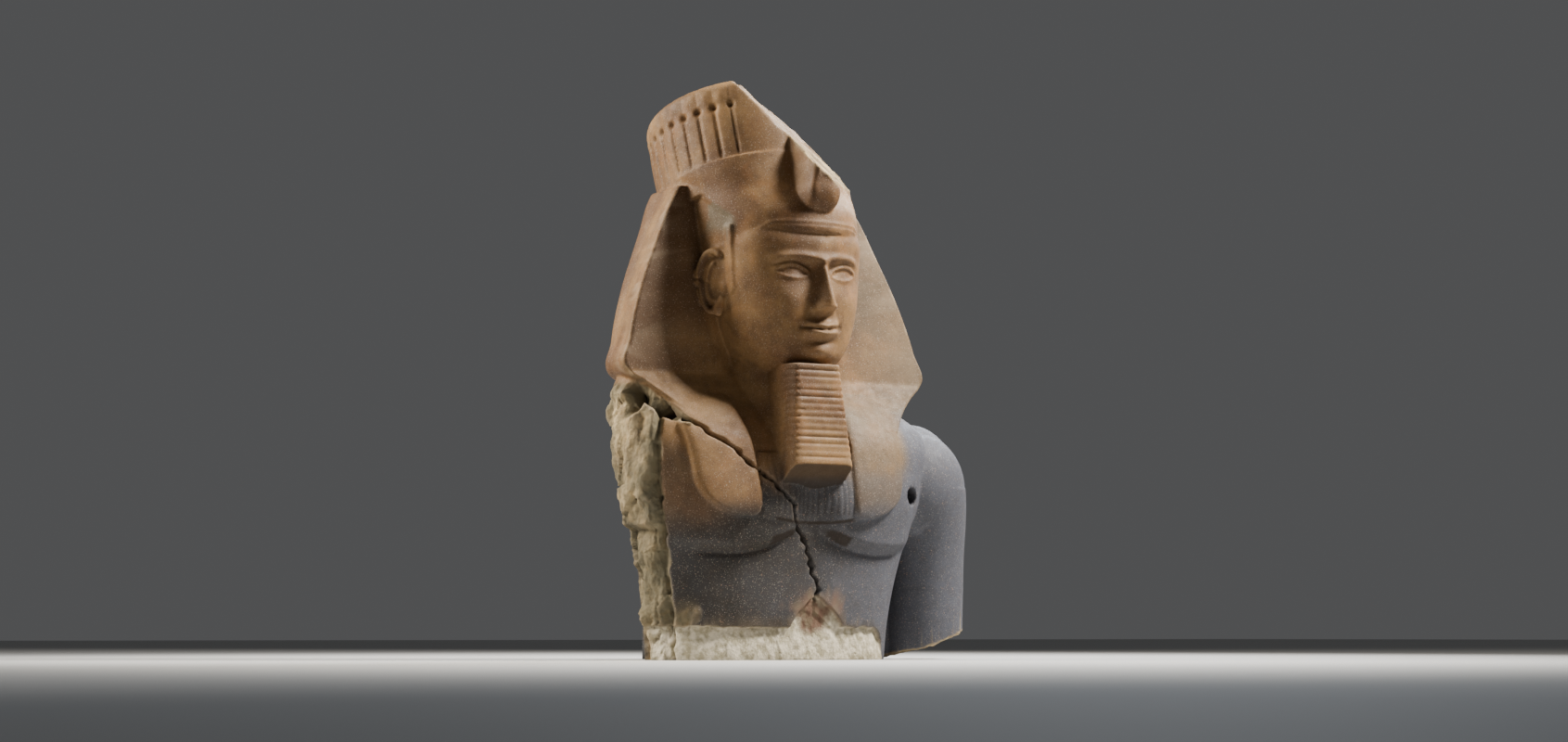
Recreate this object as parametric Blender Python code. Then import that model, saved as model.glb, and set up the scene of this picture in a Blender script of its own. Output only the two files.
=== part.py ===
"""Colossal broken bust of a king, carved from one block of granite.

The figure faces -Y and stands on its flat underside at z = 0, with the origin at the bottom
centre of its bounding box. Its proportions are counted in grid squares, as a carver sets them
out on the block, and one square is a share of the whole height.
"""

import math

import bmesh
import bpy
import numpy as np
from mathutils import Vector, noise

# Driving sizes in metres
HEIGHT = 2.67
DRILL_HOLE_DIAMETER = 0.08
DRILL_HOLE_DEPTH = 0.10
SKIN_VOXEL = 0.009
SKIN_TRIANGLES = 9800

# One grid square in metres. Every size below is in grid squares
GRID_SQUARES_HIGH = 26.73
SQUARE = HEIGHT / GRID_SQUARES_HIGH

# Head
CHIN_Z = 13.45
FACE_THIRD = 2.33
NOSE_BASE_Z = CHIN_Z + FACE_THIRD
BROW_Z = NOSE_BASE_Z + FACE_THIRD
EYE_Z = BROW_Z - 0.50
MOUTH_Z = NOSE_BASE_Z - 0.32 * FACE_THIRD
HEADBAND_Z = 19.7
TEMPLE_DROP = 1.1
FACE_WIDEST_Y = -0.3
EYE_X = 1.42
EYE_HALF_WIDTH = 0.78

# Headcloth, crown and beard
WING_CREASE_Z = 13.0
WING_TOP_Z = 21.8
CROWN_FOOT = (0.0, 2.5, 22.4)
CROWN_LEAN = math.radians(17)
CROWN_HEIGHT = 3.58
CROWN_RADIUS = 4.4
CAP_RIM_UP = -0.3
COBRAS_ROUND = 34
COBRA_TURN = 0.05
COBRA_HEAD_UP = 2.3
CROWN_WORN_FROM = math.radians(-36)
CROWN_WORN_TO = math.radians(60)
CROWN_BREAK_POINT = (-1.16, -1.45, 24.60)
CROWN_BREAK_NORMAL = (0.483, -0.519, 0.705)
BEARD_X = -0.22
BEARD_TOP_Z = 13.45
BEARD_FOOT_Z = 8.85
BEARD_RIBS = 14
BEARD_GROOVE = 0.11

# Chest, arm and breaks
PECTORAL_Z = 5.2
LAPPET_FOOT_Z = 6.5
LAPPET_THICKNESS = 0.30
LAPPETS_MIDDLE_X = -0.43
SHOULDER_CENTRE = (8.05, 1.0, 8.1)
SHOULDER_RADII = (2.95, 2.6, 2.9)
SHOULDER_TOP_CENTRE = (8.3, 1.2, 8.7)
SHOULDER_TOP_RADII = (2.3, 2.2, 2.5)
DRILL_HOLE_AT = (6.15, 7.6)
BAND_TOP_Z = 1.5
PATCH_X = 0.55
PATCH_HEIGHT = 1.5
PATCH_HALF_WIDTH = 1.5
BREAK_GRAIN = 1.5
BROKEN_STEP = 0.45
BROKEN_STEP_Z = 5.95
CRACK_HALF_WIDTH = 0.10
CRACK_X = (-6.5, -5.7, -4.7, -3.8, -2.95, -1.9, -1.2, -0.75, -0.05, -0.05, 0.25, 0.6)
CRACK_Z = (11.0, 10.6, 9.87, 9.15, 8.5, 7.75, 6.8, 5.95, 5.3, 4.65, 4.2, 2.8)

STONE = (0.16, 0.125, 0.10, 1.0)
STONE_ROUGHNESS = 0.55


def clear_scene():
    for thing in list(bpy.data.objects):
        bpy.data.objects.remove(thing)


def stone_material():
    material = bpy.data.materials.new("granite")
    material.use_nodes = True
    shader = material.node_tree.nodes["Principled BSDF"]
    shader.inputs["Base Color"].default_value = STONE
    shader.inputs["Roughness"].default_value = STONE_ROUGHNESS
    shader.inputs["Metallic"].default_value = 0.0
    return material


def smooth_step(value, low, high):
    t = np.clip((value - low) / (high - low), 0.0, 1.0)
    return t * t * (3.0 - 2.0 * t)


def bump(distance, width):
    """A rounded hill of height 1, as wide as width each way."""
    return np.exp(-((distance / width) ** 2))


def curve(at, places, values):
    """A smooth curve through the values, read at any place between the first and the last."""
    places = np.asarray(places, float)
    values = np.asarray(values, float)
    slopes = np.gradient(values, places)
    at = np.clip(at, places[0], places[-1])
    i = np.clip(np.searchsorted(places, at, side="right") - 1, 0, len(places) - 2)
    step = places[i + 1] - places[i]
    t = (at - places[i]) / step
    start = (1 + 2 * t) * (1 - t) ** 2 * values[i] + t * (1 - t) ** 2 * step * slopes[i]
    end = t * t * (3 - 2 * t) * values[i + 1] + t * t * (t - 1) * step * slopes[i + 1]
    return start + end


def add_loft(bm, rings):
    """One closed body through rings of points, all with the same count, in grid squares."""
    loops = []
    for ring in rings:
        loops.append([bm.verts.new(Vector(point) * SQUARE) for point in ring])
    faces = []
    for low, high in zip(loops, loops[1:]):
        for i in range(len(low)):
            j = (i + 1) % len(low)
            faces.append(bm.faces.new((low[i], low[j], high[j], high[i])))
    for loop, ring in ((loops[0], rings[0]), (loops[-1], rings[-1])):
        middle = bm.verts.new(Vector(np.mean(ring, axis=0)) * SQUARE)
        for i in range(len(loop)):
            faces.append(bm.faces.new((loop[i], loop[(i + 1) % len(loop)], middle)))
    bmesh.ops.recalc_face_normals(bm, faces=faces)
    return faces


def cut_flat(bm, faces, point, normal):
    """Takes away what lies beyond a plane, closes the cut, and returns the faces that are left."""
    edges = {edge for face in faces for edge in face.edges}
    verts = {vert for face in faces for vert in face.verts}
    result = bmesh.ops.bisect_plane(
        bm,
        geom=list(verts) + list(edges) + list(faces),
        plane_co=Vector(point) * SQUARE,
        plane_no=Vector(normal),
        clear_outer=True,
    )
    rim = [item for item in result["geom_cut"] if isinstance(item, bmesh.types.BMEdge)]
    closing = bmesh.ops.contextual_create(bm, geom=rim)["faces"]
    return [item for item in result["geom"] if isinstance(item, bmesh.types.BMFace) and item.is_valid] + closing


def oval(count, left, right, front, back, middle_y, z, squareness=2.0):
    """A level ring whose four sides reach left, right, front and back."""
    angle = np.linspace(0, 2 * math.pi, count, endpoint=False)
    across = np.sign(np.cos(angle)) * np.abs(np.cos(angle)) ** (2 / squareness)
    along = np.sign(np.sin(angle)) * np.abs(np.sin(angle)) ** (2 / squareness)
    middle_x = (left + right) / 2
    x = middle_x + across * (right - left) / 2
    y = middle_y + np.where(along > 0, along * (back - middle_y), along * (middle_y - front))
    return np.stack([x, y, np.full(count, float(z))], axis=1)


def add_ellipsoid(bm, centre, radii, count=48):
    """A closed oval ball made of level rings."""
    rings = []
    for angle in np.linspace(-math.pi / 2, math.pi / 2, count // 2 + 1)[1:-1]:
        wide = math.cos(angle)
        ring = oval(count, -radii[0] * wide, radii[0] * wide, -radii[1] * wide, radii[1] * wide, 0, 0)
        ring[:, 2] = radii[2] * math.sin(angle)
        rings.append(ring + np.array(centre))
    return add_loft(bm, rings)


def add_tube(bm, path, radius, sides=16):
    """A round bar along a path, with closed ends, whose radius may change from end to end."""
    path = [Vector(point) for point in path]
    radii = np.broadcast_to(radius, len(path))
    rings = []
    for i, point in enumerate(path):
        ahead = path[min(i + 1, len(path) - 1)] - path[max(i - 1, 0)]
        turn = ahead.to_track_quat("Z", "Y")
        ring = []
        for k in range(sides):
            angle = 2 * math.pi * k / sides
            ring.append(point + turn @ Vector((math.cos(angle), math.sin(angle), 0)) * float(radii[i]))
        rings.append(ring)
    return add_loft(bm, rings)


def torso_sizes(z):
    """Left, right, front and back reach of the trunk at a height."""
    levels = (-0.5, 2.0, 4.0, 5.7, 6.2, 7.0, 8.5, 10.0, 11.0, 11.8, 12.6)
    left = curve(z, levels, (-6.5, -6.75, -6.95, -7.4, -7.5, -7.65, -7.9, -8.1, -8.1, -7.8, -6.0))
    right = curve(z, levels, (5.7, 6.0, 6.5, 7.1, 7.3, 7.7, 8.2, 8.4, 7.8, 6.4, 4.4))
    front = curve(z, levels, (-2.1, -2.15, -2.2, -2.3, -2.35, -2.5, -2.5, -2.15, -1.5, -0.8, 0.4))
    back = curve(z, levels, (3.2, 3.2, 3.3, 3.4, 3.4, 3.5, 3.6, 3.6, 3.5, 3.4, 3.2))
    return left, right, front, back


def chest_front(x, z):
    """How far forward the front of the trunk lies, as y."""
    left, right, front, back = torso_sizes(z)
    middle_y = 0.6
    middle_x = (left + right) / 2
    share = np.clip(np.abs(x - middle_x) / ((right - left) / 2), 0, 1)
    squareness = 2.7
    depth = (1 - share**squareness) ** (1 / squareness)
    return middle_y + (front - middle_y) * depth - chest_relief(x, z)


def chest_relief(x, z):
    """The breast muscles and the line under each."""
    side = np.abs(x)
    line_z = PECTORAL_Z - 0.25 + (side - 4.2) ** 2 * np.where(side > 4.2, 0.045, 0.075)
    above = z - line_z
    swell = smooth_step(above, -0.15, 0.40) * (1 - smooth_step(above, 1.0, 4.5))
    muscle = 0.42 * swell * smooth_step(side, 0.1, 1.6) * (1 - smooth_step(side, 5.4, 7.4))
    line = 0.12 * bump(above + 0.14, 0.13) * smooth_step(side, 0.5, 1.6) * (1 - smooth_step(side, 5.0, 6.2))
    belly = 0.10 * bump(x, 2.6) * (1 - smooth_step(z, 2.0, 5.0))
    return muscle + belly - line


def add_torso(bm):
    rings = []
    for z in np.linspace(-0.5, 12.6, 100):
        left, right, front, back = torso_sizes(z)
        ring = oval(200, left, right, front, back, 0.6, z, 2.7)
        facing = np.clip((0.6 - ring[:, 1]) / 1.6, 0, 1)
        ring[:, 1] -= chest_relief(ring[:, 0], ring[:, 2]) * facing
        rings.append(ring)
    add_loft(bm, rings)


def add_arm(bm):
    """Shoulder, upper arm down to its broken end, and the web of stone behind it."""
    add_ellipsoid(bm, SHOULDER_CENTRE, SHOULDER_RADII, count=96)
    add_ellipsoid(bm, SHOULDER_TOP_CENTRE, SHOULDER_TOP_RADII, count=72)
    levels = (-0.5, 2.0, 4.0, 6.0, 7.2, SHOULDER_CENTRE[2])
    rings = []
    for share in np.linspace(0, 1, 60):
        level = -0.5 + share * (SHOULDER_CENTRE[2] + 0.5)
        x = curve(level, levels, (9.15, 9.15, 9.1, 8.85, 8.45, SHOULDER_CENTRE[0]))
        y = curve(level, levels, (1.35, 1.35, 1.3, 1.2, 1.1, SHOULDER_CENTRE[1]))
        wide = curve(level, levels, (1.95, 2.0, 2.05, 2.3, 2.65, SHOULDER_RADII[0]))
        deep = curve(level, levels, (2.05, 2.1, 2.15, 2.35, 2.5, SHOULDER_RADII[1]))
        ring = oval(96, x - wide, x + wide, y - deep, y + deep, y, 0, 2.1)
        foot = arm_break_z(ring[:, 0])
        ring[:, 2] = foot + share * (SHOULDER_CENTRE[2] - foot)
        rings.append(ring)
    add_loft(bm, rings)
    rings = []
    for share in np.linspace(0, 1, 24):
        ring = oval(64, 4.0, 9.4, 1.3, 3.3, 2.3, 0, 5.0)
        foot = arm_break_z(ring[:, 0])
        ring[:, 2] = foot + share * (8.6 - foot)
        rings.append(ring)
    add_loft(bm, rings)


def add_broken_shoulder(bm):
    """The mass that the lost arm broke away from, up to the foot of the wing."""
    add_ellipsoid(bm, (-6.5, 1.4, 11.5), (1.5, 1.9, 2.3), count=40)


def arm_break_z(x):
    return np.clip(-0.4 + (x - 5.4) * 0.34, -0.5, 1.5)


def add_neck(bm):
    rings = []
    for z in np.linspace(10.2, 14.8, 30):
        half = curve(z, (10.2, 11.4, 13.0, 14.8), (3.6, 2.75, 2.45, 2.5))
        front = curve(z, (10.2, 11.4, 13.0, 14.8), (-2.3, -2.0, -1.6, -1.5))
        rings.append(oval(96, -half, half, front, 3.0, 0.4, z, 2.1))
    add_loft(bm, rings)


def face_relief(x, z):
    """How far the carving of the face stands out from the plain front of the head."""
    side = np.abs(x)
    out = np.zeros_like(x)
    out -= 0.38 * bump(side - 1.30, 0.95) * bump(z - EYE_Z - 0.12, 0.52)
    out += 0.20 * bump(z - (BROW_Z + 0.22 - 0.10 * (side - 1.2) ** 2), 0.20) * (1 - smooth_step(side, 1.9, 2.7))
    out += 0.18 * bump(side - 1.75, 0.80) * bump(z - NOSE_BASE_Z - 0.55, 0.75)
    out += eye_relief(side, z)
    out += nose_relief(side, z)
    out += mouth_relief(side, z)
    out += 0.34 * bump(side, 0.85) * bump(z - CHIN_Z - 0.52, 0.42)
    out -= 0.12 * bump(side, 0.85) * bump(z - CHIN_Z - 1.02, 0.15)
    return out


def eye_relief(side, z):
    """A ball behind two rimmed lids."""
    along = (side - EYE_X) / EYE_HALF_WIDTH
    arch = np.clip(1 - along**2, 0, 1)
    tilt = 0.05 * along
    upper = EYE_Z + tilt + 0.27 * arch**0.75
    lower = EYE_Z + tilt - 0.21 * arch**0.9
    ball = 0.34 * bump(side - EYE_X, 0.66) * bump(z - EYE_Z - 0.02, 0.42)
    inside = smooth_step(z, lower - 0.03, lower + 0.03) * (1 - smooth_step(z, upper - 0.03, upper + 0.03))
    inside = inside * (np.abs(along) < 1)
    near = 1 - smooth_step(np.abs(along), 0.95, 1.25)
    upper_lid = bump(z - upper - 0.08, 0.085) * near
    lower_lid = bump(z - lower + 0.06, 0.07) * near
    fold = bump(z - upper - 0.27, 0.05) * near
    return ball - 0.055 * inside + 0.11 * upper_lid + 0.05 * lower_lid - 0.04 * fold


def nose_relief(side, z):
    levels = (NOSE_BASE_Z - 0.16, NOSE_BASE_Z, NOSE_BASE_Z + 0.16, NOSE_BASE_Z + 0.4, 17.0, 17.8, BROW_Z, 19.2)
    ridge = curve(z, levels, (0.0, 0.26, 0.74, 0.88, 0.70, 0.44, 0.22, 0.0))
    half = curve(z, levels, (0.34, 0.36, 0.40, 0.42, 0.36, 0.30, 0.36, 0.5))
    nose = ridge * np.exp(-((side / half) ** 2.2))
    wings = 0.38 * bump(side - 0.43, 0.21) * bump(z - NOSE_BASE_Z - 0.25, 0.22)
    nostril = 0.16 * bump(side - 0.26, 0.11) * bump(z - NOSE_BASE_Z - 0.03, 0.09)
    cheek_fold = 0.05 * bump(side - 0.78 - 0.25 * (NOSE_BASE_Z + 0.2 - z), 0.12) * bump(z - NOSE_BASE_Z, 0.35)
    return nose + wings - nostril - cheek_fold


def mouth_relief(side, z):
    half = 0.98
    across = np.clip(side / half, 0, 1)
    closed = np.sqrt(1 - across**2)
    parting = MOUTH_Z + 0.10 * across**2 - 0.03 * bump(side, 0.2)
    muzzle = 0.24 * bump(side, 1.25) * bump(z - MOUTH_Z, 0.72)
    upper = 0.25 * closed * bump(z - parting - 0.17 + 0.03 * bump(side, 0.12), 0.15)
    lower = 0.29 * closed**1.3 * bump(z - parting + 0.20, 0.17)
    line = 0.20 * bump(z - parting, 0.055) * (1 - smooth_step(side, 0.9, 1.08))
    corner = 0.13 * bump(side - 1.04, 0.15) * bump(z - parting, 0.15)
    groove = 0.06 * bump(side, 0.10) * bump(z - MOUTH_Z - 0.52, 0.17)
    return muzzle + upper + lower - line - corner - groove


def add_head(bm):
    levels = (12.9, 13.3, 13.7, 14.3, 15.2, 16.2, 17.2, 18.2, 19.2, 20.4)
    rings = []
    for z in np.linspace(12.9, 20.4, 190):
        half = curve(z, levels, (1.3, 1.85, 2.3, 2.75, 3.12, 3.36, 3.5, 3.56, 3.56, 3.2))
        front = curve(z, levels, (-1.6, -2.45, -2.95, -3.15, -3.25, -3.3, -3.3, -3.32, -3.38, -2.8))
        ring = oval(300, -half, half, front, 3.0, FACE_WIDEST_Y, z, 2.25)
        facing = np.clip((FACE_WIDEST_Y - ring[:, 1]) / 0.9, 0, 1)
        ring[:, 1] -= face_relief(ring[:, 0], ring[:, 2]) * facing
        rings.append(ring)
    add_loft(bm, rings)


def add_ear(bm, side):
    """Rim, inner fold, small flap and lobe on a thin plate that stands off the head."""
    low = NOSE_BASE_Z + 0.1
    high = BROW_Z + 0.55
    middle = (low + high) / 2
    reach = (high - low) / 2

    def place(across, up, out):
        """Across goes back and outward along the plate, and out is proud of it."""
        x = 3.42 + 0.50 * across + 0.35 * out
        y = -0.55 + 0.80 * across - 0.75 * out
        return (side * x, y, up)

    rim = []
    for angle in np.radians(np.linspace(-150, 120, 40)):
        wide = 0.78 if math.sin(angle) > 0 else 0.60
        across = 0.75 + wide * math.cos(angle)
        rim.append(place(across, middle + reach * math.sin(angle), 0.22))
    add_tube(bm, rim, np.linspace(0.13, 0.17, len(rim)))
    fold = []
    for angle in np.radians(np.linspace(-110, 95, 24)):
        across = 0.62 + 0.36 * math.cos(angle)
        fold.append(place(across, middle - 0.05 + 0.62 * reach * math.sin(angle), 0.15))
    add_tube(bm, fold, 0.12)
    for k in np.linspace(0.0, 1.1, 10):
        tall = reach * math.sqrt(max(0.05, 1 - ((k - 0.6) / 0.85) ** 2))
        add_ellipsoid(bm, place(k, middle, -0.12), (0.24, 0.24, tall), count=20)
    add_ellipsoid(bm, place(0.10, middle - 0.22, 0.14), (0.17, 0.20, 0.26), count=20)
    add_ellipsoid(bm, place(0.42, low + 0.16, 0.10), (0.26, 0.26, 0.38), count=20)


def wing_sizes(z):
    """Half width, y of the front face, and y of the back of the headcloth at a height."""
    levels = (10.6, 11.6, 12.3, WING_CREASE_Z, 14.6, 16.8, 19.3, 20.8, WING_TOP_Z)
    half = curve(z, levels, (5.6, 6.5, 7.35, 8.3, 8.05, 7.35, 6.2, 5.45, 4.8))
    front = np.interp(z, levels, (-1.75, -1.0, -0.45, 0.05, 0.25, 0.55, 0.9, 1.1, 1.3))
    back = curve(z, levels, (4.6, 4.6, 4.7, 4.8, 5.2, 5.7, 6.2, 6.4, 6.3))
    return half, front, back


def add_headcloth_wings(bm):
    rings = []
    for z in np.linspace(10.6, WING_TOP_Z, 130):
        half, front, back = wing_sizes(z)
        shoulder = front + 2.4
        side_x = half - 0.75 + 0.25 * smooth_step(z, 20.0, WING_TOP_Z)
        front_x = np.linspace(0, half - 0.12, 40)
        edge = [(half - 0.12, front), (half, front + 0.12)]
        shares = np.linspace(0, 1, 12)
        side = [(half + (side_x - half) * t, front + 0.12 + (shoulder - front - 0.12) * t) for t in shares]
        turn = np.linspace(0, math.pi / 2, 30)[1:]
        round_back = [
            (side_x * math.cos(a) ** 0.75, shoulder + (back - shoulder) * math.sin(a) ** 0.9) for a in turn
        ]
        inner = 0.35 * (1 - smooth_step(front_x, 2.3, 3.6)) * smooth_step(z, 12.9, 13.5)
        right = list(zip(front_x, front + inner))[:-1] + edge + side[1:] + round_back
        left = [(-x, y) for x, y in reversed(right[1:-1])]
        ring = [(x, y, z) for x, y in right + left]
        rings.append(ring)
    add_loft(bm, rings)


def cap_sizes(z):
    """Half width, front, back and widest place of the cap of the headcloth at a height."""
    levels = (HEADBAND_Z - 0.2, 20.6, 21.6, 22.4, 23.0, 23.8)
    half = curve(z, levels, (3.85, 4.1, 4.2, 4.45, 4.5, 4.45))
    front = curve(z, levels, (-3.5, -3.3, -2.5, -2.1, -1.9, -1.75))
    back = curve(z, levels, (6.3, 6.5, 6.6, 6.6, 6.6, 6.5))
    middle = curve(z, levels, (1.2, 1.3, 1.6, 2.0, 2.3, 2.4))
    return half, front, back, middle


def temple_recess(y, z):
    """The hollow facet behind the temple, between the cap's fold and the wing."""
    fold_y = -1.3 + 1.5 * np.clip(z - 20.2, 0, 2.0)
    return 0.12 * smooth_step(y, fold_y, fold_y + 0.6) * (1 - smooth_step(z, 21.5, 22.0))


def add_cap(bm):
    """The cap comes down behind the temples as far as the ears, and closes round the crown's foot."""
    rings = []
    for z in np.linspace(HEADBAND_Z - 0.2, 23.8, 90):
        half, front, back, middle = cap_sizes(z)
        fold = 0.06 * bump(z - HEADBAND_Z, 0.07) + 0.06 * bump(z - HEADBAND_Z - 0.22, 0.07)
        ring = oval(300, -half - fold, half + fold, front - fold, back, middle, z, 2.1)
        droop = TEMPLE_DROP * smooth_step(ring[:, 1], -2.9, -1.3) * (1 - smooth_step(z, HEADBAND_Z, 21.4))
        ring[:, 2] -= droop
        side = smooth_step(np.abs(ring[:, 0]), 2.6, 3.4)
        ring[:, 0] -= np.sign(ring[:, 0]) * side * temple_recess(ring[:, 1], ring[:, 2])
        rings.append(ring)
    faces = add_loft(bm, rings)
    axis = (0.0, math.sin(CROWN_LEAN), math.cos(CROWN_LEAN))
    faces = cut_flat(bm, faces, crown_point(0.0, 0.0, CAP_RIM_UP), axis)
    cut_flat(bm, faces, CROWN_BREAK_POINT, CROWN_BREAK_NORMAL)


def add_cheek_tab(bm, side):
    """The flat tab of the headcloth that hangs in front of the ear."""
    rings = []
    for z in np.linspace(16.7, 19.8, 30):
        wide = 0.30 * math.sqrt(min(1.0, (z - 16.6) / 0.4))
        half = float(curve(z, (16.2, 17.2, 18.2, 19.8), (3.34, 3.44, 3.50, 3.62)))
        left, right = sorted((side * (half - 0.5), side * (half + 0.06)))
        rings.append(oval(24, left, right, -0.95 - wide, -0.95 + wide, -0.95, z, 5.0))
    add_loft(bm, rings)


def crown_point(angle, out, up):
    """Angle 0 is the front, and positive angles go to the figure's left."""
    x = out * math.sin(angle)
    forward = -out * math.cos(angle)
    y = forward * math.cos(CROWN_LEAN) + up * math.sin(CROWN_LEAN)
    z = -forward * math.sin(CROWN_LEAN) + up * math.cos(CROWN_LEAN)
    return (CROWN_FOOT[0] + x, CROWN_FOOT[1] + y, CROWN_FOOT[2] + z)


def crown_relief(angle, up):
    """A groove below each gap between two cobras, a drilled pit at its head, and faint lines above."""
    worn = smooth_step(angle, CROWN_WORN_FROM - 0.06, CROWN_WORN_FROM + 0.06)
    worn *= 1 - smooth_step(angle, CROWN_WORN_TO - 0.06, CROWN_WORN_TO + 0.06)
    turn = (angle + COBRA_TURN) * COBRAS_ROUND / (2 * math.pi)
    away = np.abs(turn - np.floor(turn) - 0.5) * 2 * math.pi / COBRAS_ROUND * CROWN_RADIUS
    groove = 0.14 * bump(away, 0.065) * smooth_step(up, -0.4, 0.1) * (1 - smooth_step(up, 1.9, 2.2))
    pit = 0.26 * bump(np.hypot(away, (up - COBRA_HEAD_UP) * 0.9), 0.15)
    line = 0.05 * bump(away, 0.06) * smooth_step(up, 2.5, 2.7)
    disc = 0.05 * bump(away - 0.40, 0.17) * bump(up - COBRA_HEAD_UP - 0.55, 0.25)
    return (groove + pit + line - disc) * (1 - worn)


def add_crown(bm):
    """A ring of upright cobras, worn plain and broken away at one side."""
    angles = np.linspace(-math.pi, math.pi, 700, endpoint=False)
    rings = []
    for up in np.linspace(-1.6, CROWN_HEIGHT, 80):
        share = up / CROWN_HEIGHT
        rounding = 0.30 * max(0.0, (share - 0.88) / 0.12) ** 2
        out = CROWN_RADIUS + 0.05 * math.sin(math.pi * max(share, 0)) - rounding
        outs = out - crown_relief(angles, up)
        rings.append([crown_point(angle, reach, up) for angle, reach in zip(angles, outs)])
    faces = add_loft(bm, rings)
    cut_flat(bm, faces, CROWN_BREAK_POINT, CROWN_BREAK_NORMAL)


def add_uraeus(bm):
    """The stump of the cobra at the brow: a deep upright strip that flares to a rounded foot."""
    rings = []
    for z in np.linspace(20.4, 24.4, 50):
        half = curve(z, (20.4, 20.7, 21.2, 22.0, 24.4), (0.45, 0.72, 0.86, 0.72, 0.60))
        front = curve(z, (20.4, 20.8, 21.2, 22.0, 23.2, 24.4), (-3.35, -3.65, -3.8, -3.8, -3.75, -3.7))
        ring = oval(56, -half, half, front, 0.0, front + 0.5, z, 4.0)
        ridge_x = curve(z, (20.8, 23.4), (0.40, -0.45))
        ring[:, 1] -= 0.06 * bump(ring[:, 0] - ridge_x, 0.35) * (ring[:, 1] < front + 0.3)
        rings.append(ring)
    faces = add_loft(bm, rings)
    cut_flat(bm, faces, CROWN_BREAK_POINT, CROWN_BREAK_NORMAL)


def add_beard(bm):
    """The plaited beard, wider and further forward towards its foot, and its bridge to the chest."""
    pitch = (BEARD_TOP_Z - BEARD_FOOT_Z) / (BEARD_RIBS + 1)
    rings = []
    for share in np.linspace(0, 1, 150):
        ring = oval(88, -1, 1, -1, 1, 0, 0, 9.0)
        half = 1.72 - 0.42 * share
        front = -3.90 + 0.50 * share
        back = -1.0
        x = BEARD_X + ring[:, 0] * half
        y = (front + back) / 2 + ring[:, 1] * (back - front) / 2
        foot = BEARD_FOOT_Z - 0.85 * (y - front)
        z = foot + share * (BEARD_TOP_Z - foot)
        rib = np.abs(np.sin(math.pi * (z - BEARD_FOOT_Z) / pitch))
        groove = BEARD_GROOVE * (1 - smooth_step(rib, 0.0, 0.6)) * smooth_step(-ring[:, 1], 0.2, 0.6)
        groove *= smooth_step(z, BEARD_FOOT_Z + 0.15, BEARD_FOOT_Z + 0.3) * (1 - smooth_step(z, 13.1, 13.3))
        shrink = 1 - groove
        rings.append(np.stack([BEARD_X + (x - BEARD_X) * shrink, -1.6 + (y + 1.6) * shrink, z], axis=1))
    add_loft(bm, rings)


def add_lappet(bm, side):
    """The hanging front end of the headcloth, a slab that follows the chest."""
    levels = LAPPET_FOOT_Z + np.array((0, 0.12, 0.4, 0.8, 1.4, 2.5, 4.0, 5.1, 6.1))
    rings = []
    foot = np.linspace(levels[0], levels[3], 24)
    for z in np.concatenate((foot, np.linspace(levels[3], levels[-1], 60)[1:])):
        inner = curve(z, levels, (3.0, 2.75, 2.62, 2.6, 2.62, 2.66, 2.8, 3.0, 3.1))
        outer = curve(z, levels, (3.6, 4.15, 4.8, 5.3, 5.6, 5.72, 5.95, 6.4, 7.0))
        xs = np.linspace(inner, outer, 24) * side + LAPPETS_MIDDLE_X
        front = chest_front(xs, np.full(24, z)) - LAPPET_THICKNESS
        edge = np.minimum(np.arange(24), np.arange(24)[::-1])
        front += np.array([0.10, 0.03] + [0] * 22)[edge]
        ring = [(x, y, z) for x, y in zip(xs, front)]
        ring += [(x, y + 1.2, z) for x, y in zip(xs[::-1], front[::-1])]
        rings.append(ring)
    add_loft(bm, rings)


def add_collar(bm):
    """The broad collar between the lappets, with its upright strokes."""
    count = 90
    xs = np.linspace(-2.9, 2.9, count)
    rings = []
    for z in np.linspace(6.15, 9.4, 50):
        stroke = np.abs(np.sin(math.pi * xs / 0.30))
        depth = 0.11 * (1 - smooth_step(stroke, 0.0, 0.6)) * smooth_step(z, 6.55, 6.65)
        hang = smooth_step(z, 6.15 + 0.12 * xs**2 * 0.3, 6.30 + 0.12 * xs**2 * 0.3)
        front = chest_front(xs, np.full(count, z)) - 0.12 * hang + depth * hang
        ring = [(x, y, z) for x, y in zip(xs, front)]
        ring += [(x, y + 1.2, z) for x, y in zip(xs[::-1], front[::-1])]
        rings.append(ring)
    add_loft(bm, rings)


def add_back_pillar(bm):
    rings = []
    for z, half in ((-0.5, 3.9), (11.0, 3.8), (21.5, 3.3), (22.6, 3.0)):
        rings.append(oval(48, -half, half, 1.5, 6.3, 3.5, z, 9.0))
    add_loft(bm, rings)


def drill_depth(x, z):
    """How deep the drilled hole goes at a place on the front."""
    away = np.hypot(x - DRILL_HOLE_AT[0], z - DRILL_HOLE_AT[1])
    radius = DRILL_HOLE_DIAMETER / 2 / SQUARE
    return DRILL_HOLE_DEPTH / SQUARE * (1 - smooth_step(away, radius * 0.85, radius * 1.1))


def crack_distance(x, z):
    """How far a place on the front lies from the long crack."""
    best = np.full(x.shape, 99.0)
    path = list(zip(CRACK_X, CRACK_Z))
    for (ax, az), (bx, bz) in zip(path, path[1:]):
        dx, dz = bx - ax, bz - az
        t = np.clip(((x - ax) * dx + (z - az) * dz) / (dx * dx + dz * dz), 0, 1)
        best = np.minimum(best, np.hypot(x - ax - t * dx, z - az - t * dz))
    return best


def crack_wander(z):
    return 0.10 * np.sin(5.1 * z) + 0.05 * np.sin(13.0 * z + 1.0)


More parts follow.
